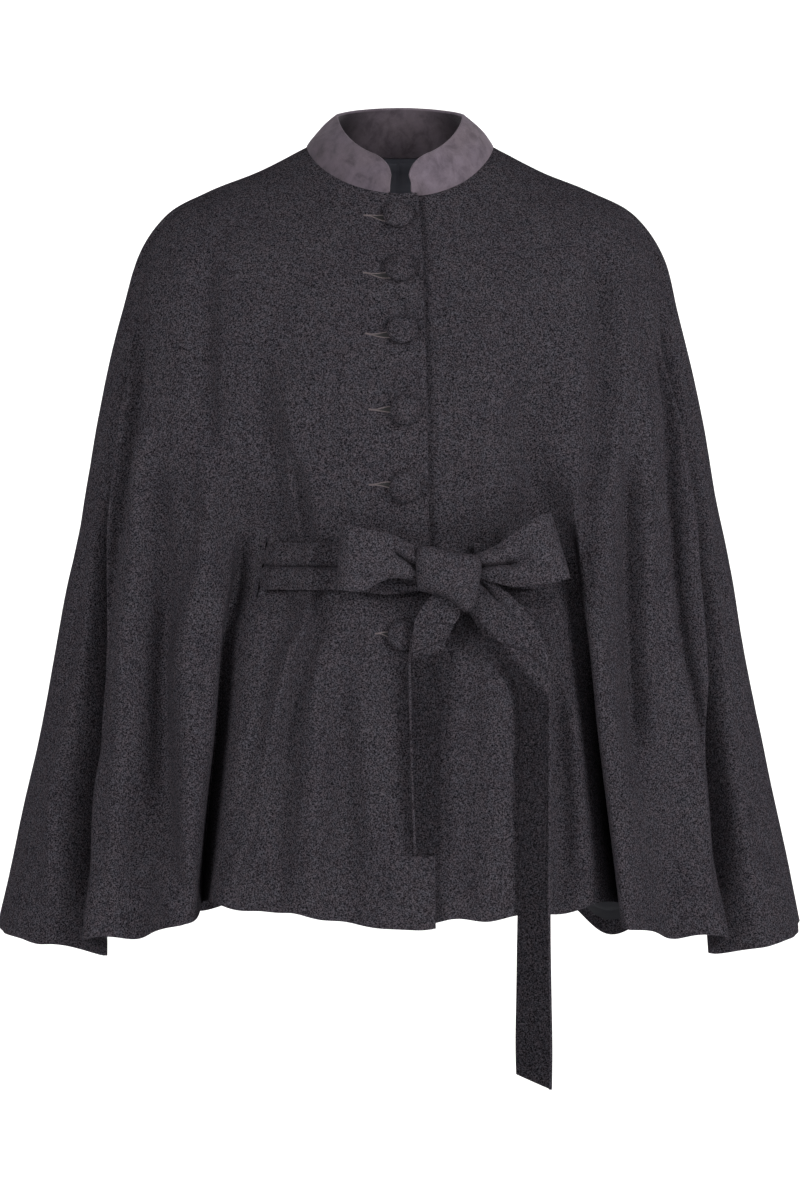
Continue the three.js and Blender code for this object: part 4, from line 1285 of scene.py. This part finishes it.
# Stage.
class CAPE_OT_stage(bpy.types.Operator):
    """Set the pale floor and backdrop, the soft lights and the camera"""
    bl_idname = "cape.stage"
    bl_label = "Stage"

    def execute(self, context):
        scene, look = context.scene, context.scene.cape_stage
        paper = bpy.data.materials.new("pale_paper")
        paper.use_nodes = True
        shader = paper.node_tree.nodes["Principled BSDF"]
        shader.inputs["Base Color"].default_value = (0.93, 0.93, 0.93, 1.0)
        shader.inputs["Roughness"].default_value = 0.9
        bend = ROOM["bend"]
        profile = [(ROOM["near"], ROOM["floor"])]
        profile += [(ROOM["wall"] - bend * (1 - math.sin(a)), ROOM["floor"] + bend * (1 - math.cos(a)))
                    for a in np.linspace(0, math.pi / 2, 24)]
        profile += [(ROOM["wall"], ROOM["top"])]
        points = [(x, y, z) for y, z in profile for x in (-ROOM["half_width"], ROOM["half_width"])]
        faces = [(2 * k, 2 * k + 1, 2 * k + 3, 2 * k + 2) for k in range(len(profile) - 1)]
        mesh = bpy.data.meshes.new("backdrop")
        mesh.from_pydata(points, [], faces)
        mesh.materials.append(paper)
        mesh.shade_smooth()
        backdrop = bpy.data.objects.new("backdrop", mesh)
        scene.collection.objects.link(backdrop)
        world = bpy.data.worlds.new("soft_room")
        world.use_nodes = True
        light = world.node_tree.nodes["Background"].inputs
        light["Color"].default_value = (1.0, 1.0, 1.0, 1.0)
        light["Strength"].default_value = look.sky
        scene.world = world
        middle = Vector((0.0, 0.0, look.height))
        for name, place, size, power in (
                ("key", (2.35, -2.1, 0.55), 1.3, look.key),
                ("fill", (-2.3, -2.2, 0.4), 1.5, look.fill),
                ("front", (0.3, -3.3, 0.9), 1.2, look.fill * 0.3),
                ("paper_left", (-2.9, 2.6, 1.4), 1.6, PAPER_POWER),
                ("paper_right", (2.9, 2.6, 1.4), 1.6, PAPER_POWER)):
            lamp = bpy.data.lights.new(name, "AREA")
            lamp.size = size
            lamp.energy = power
            holder = bpy.data.objects.new(name, lamp)
            target = Vector(PAPER_TARGET) if name.startswith("paper") else middle
            holder.location = place
            holder.rotation_euler = (target - Vector(place)).to_track_quat("-Z", "Y").to_euler()
            scene.collection.objects.link(holder)
        camera = bpy.data.cameras.new("front_camera")
        camera.sensor_fit = "VERTICAL"
        camera.sensor_height = SENSOR
        camera.lens = SENSOR * look.distance / look.view
        camera.clip_end = 50.0
        holder = bpy.data.objects.new("front_camera", camera)
        holder.location = (0.0, -look.distance, look.height)
        holder.rotation_euler = (math.pi / 2, 0.0, 0.0)
        scene.collection.objects.link(holder)
        scene.camera = holder
        scene.view_settings.view_transform = "Standard"
        return {"FINISHED"}


class CAPE_PT_panel(bpy.types.Panel):
    """The cape's sizes, colours and pieces"""
    bl_idname = "CAPE_PT_panel"
    bl_label = "Wool cape coat"
    bl_space_type = "VIEW_3D"
    bl_region_type = "UI"
    bl_category = "Cape"

    def draw(self, context):
        scene = context.scene
        for group in (scene.cape_sizes, scene.cape_colours, scene.cape_stage):
            box = self.layout.box()
            for name in group.__annotations__:
                box.prop(group, name)
        for operator in OPERATORS:
            self.layout.operator(operator.bl_idname)


OPERATORS = (CAPE_OT_stage, CAPE_OT_fronts, CAPE_OT_back, CAPE_OT_collar, CAPE_OT_buttons,
             CAPE_OT_buttonholes, CAPE_OT_slit_stitching, CAPE_OT_belt, CAPE_OT_bow, CAPE_OT_tails)
GROUPS = {"cape_sizes": CapeSizes, "cape_colours": CapeColours, "cape_stage": CapeStage}


def register():
    """Make the groups, operators and panel known."""
    for group in GROUPS.values():
        bpy.utils.register_class(group)
    for name, group in GROUPS.items():
        setattr(bpy.types.Scene, name, bpy.props.PointerProperty(type=group))
    for operator in OPERATORS:
        bpy.utils.register_class(operator)
    bpy.utils.register_class(CAPE_PT_panel)


def unregister():
    """Take the panel, operators and groups away again."""
    bpy.utils.unregister_class(CAPE_PT_panel)
    for operator in reversed(OPERATORS):
        bpy.utils.unregister_class(operator)
    for name, group in GROUPS.items():
        delattr(bpy.types.Scene, name)
        bpy.utils.unregister_class(group)


def main():
    """Make the stage and every piece."""
    register()
    bpy.ops.cape.stage()
    bpy.ops.cape.fronts()
    bpy.ops.cape.back()
    bpy.ops.cape.collar()
    bpy.ops.cape.buttons()
    bpy.ops.cape.buttonholes()
    bpy.ops.cape.slit_stitching()
    bpy.ops.cape.belt()
    bpy.ops.cape.bow()
    bpy.ops.cape.tails()


if __name__ == "__main__":
    main()
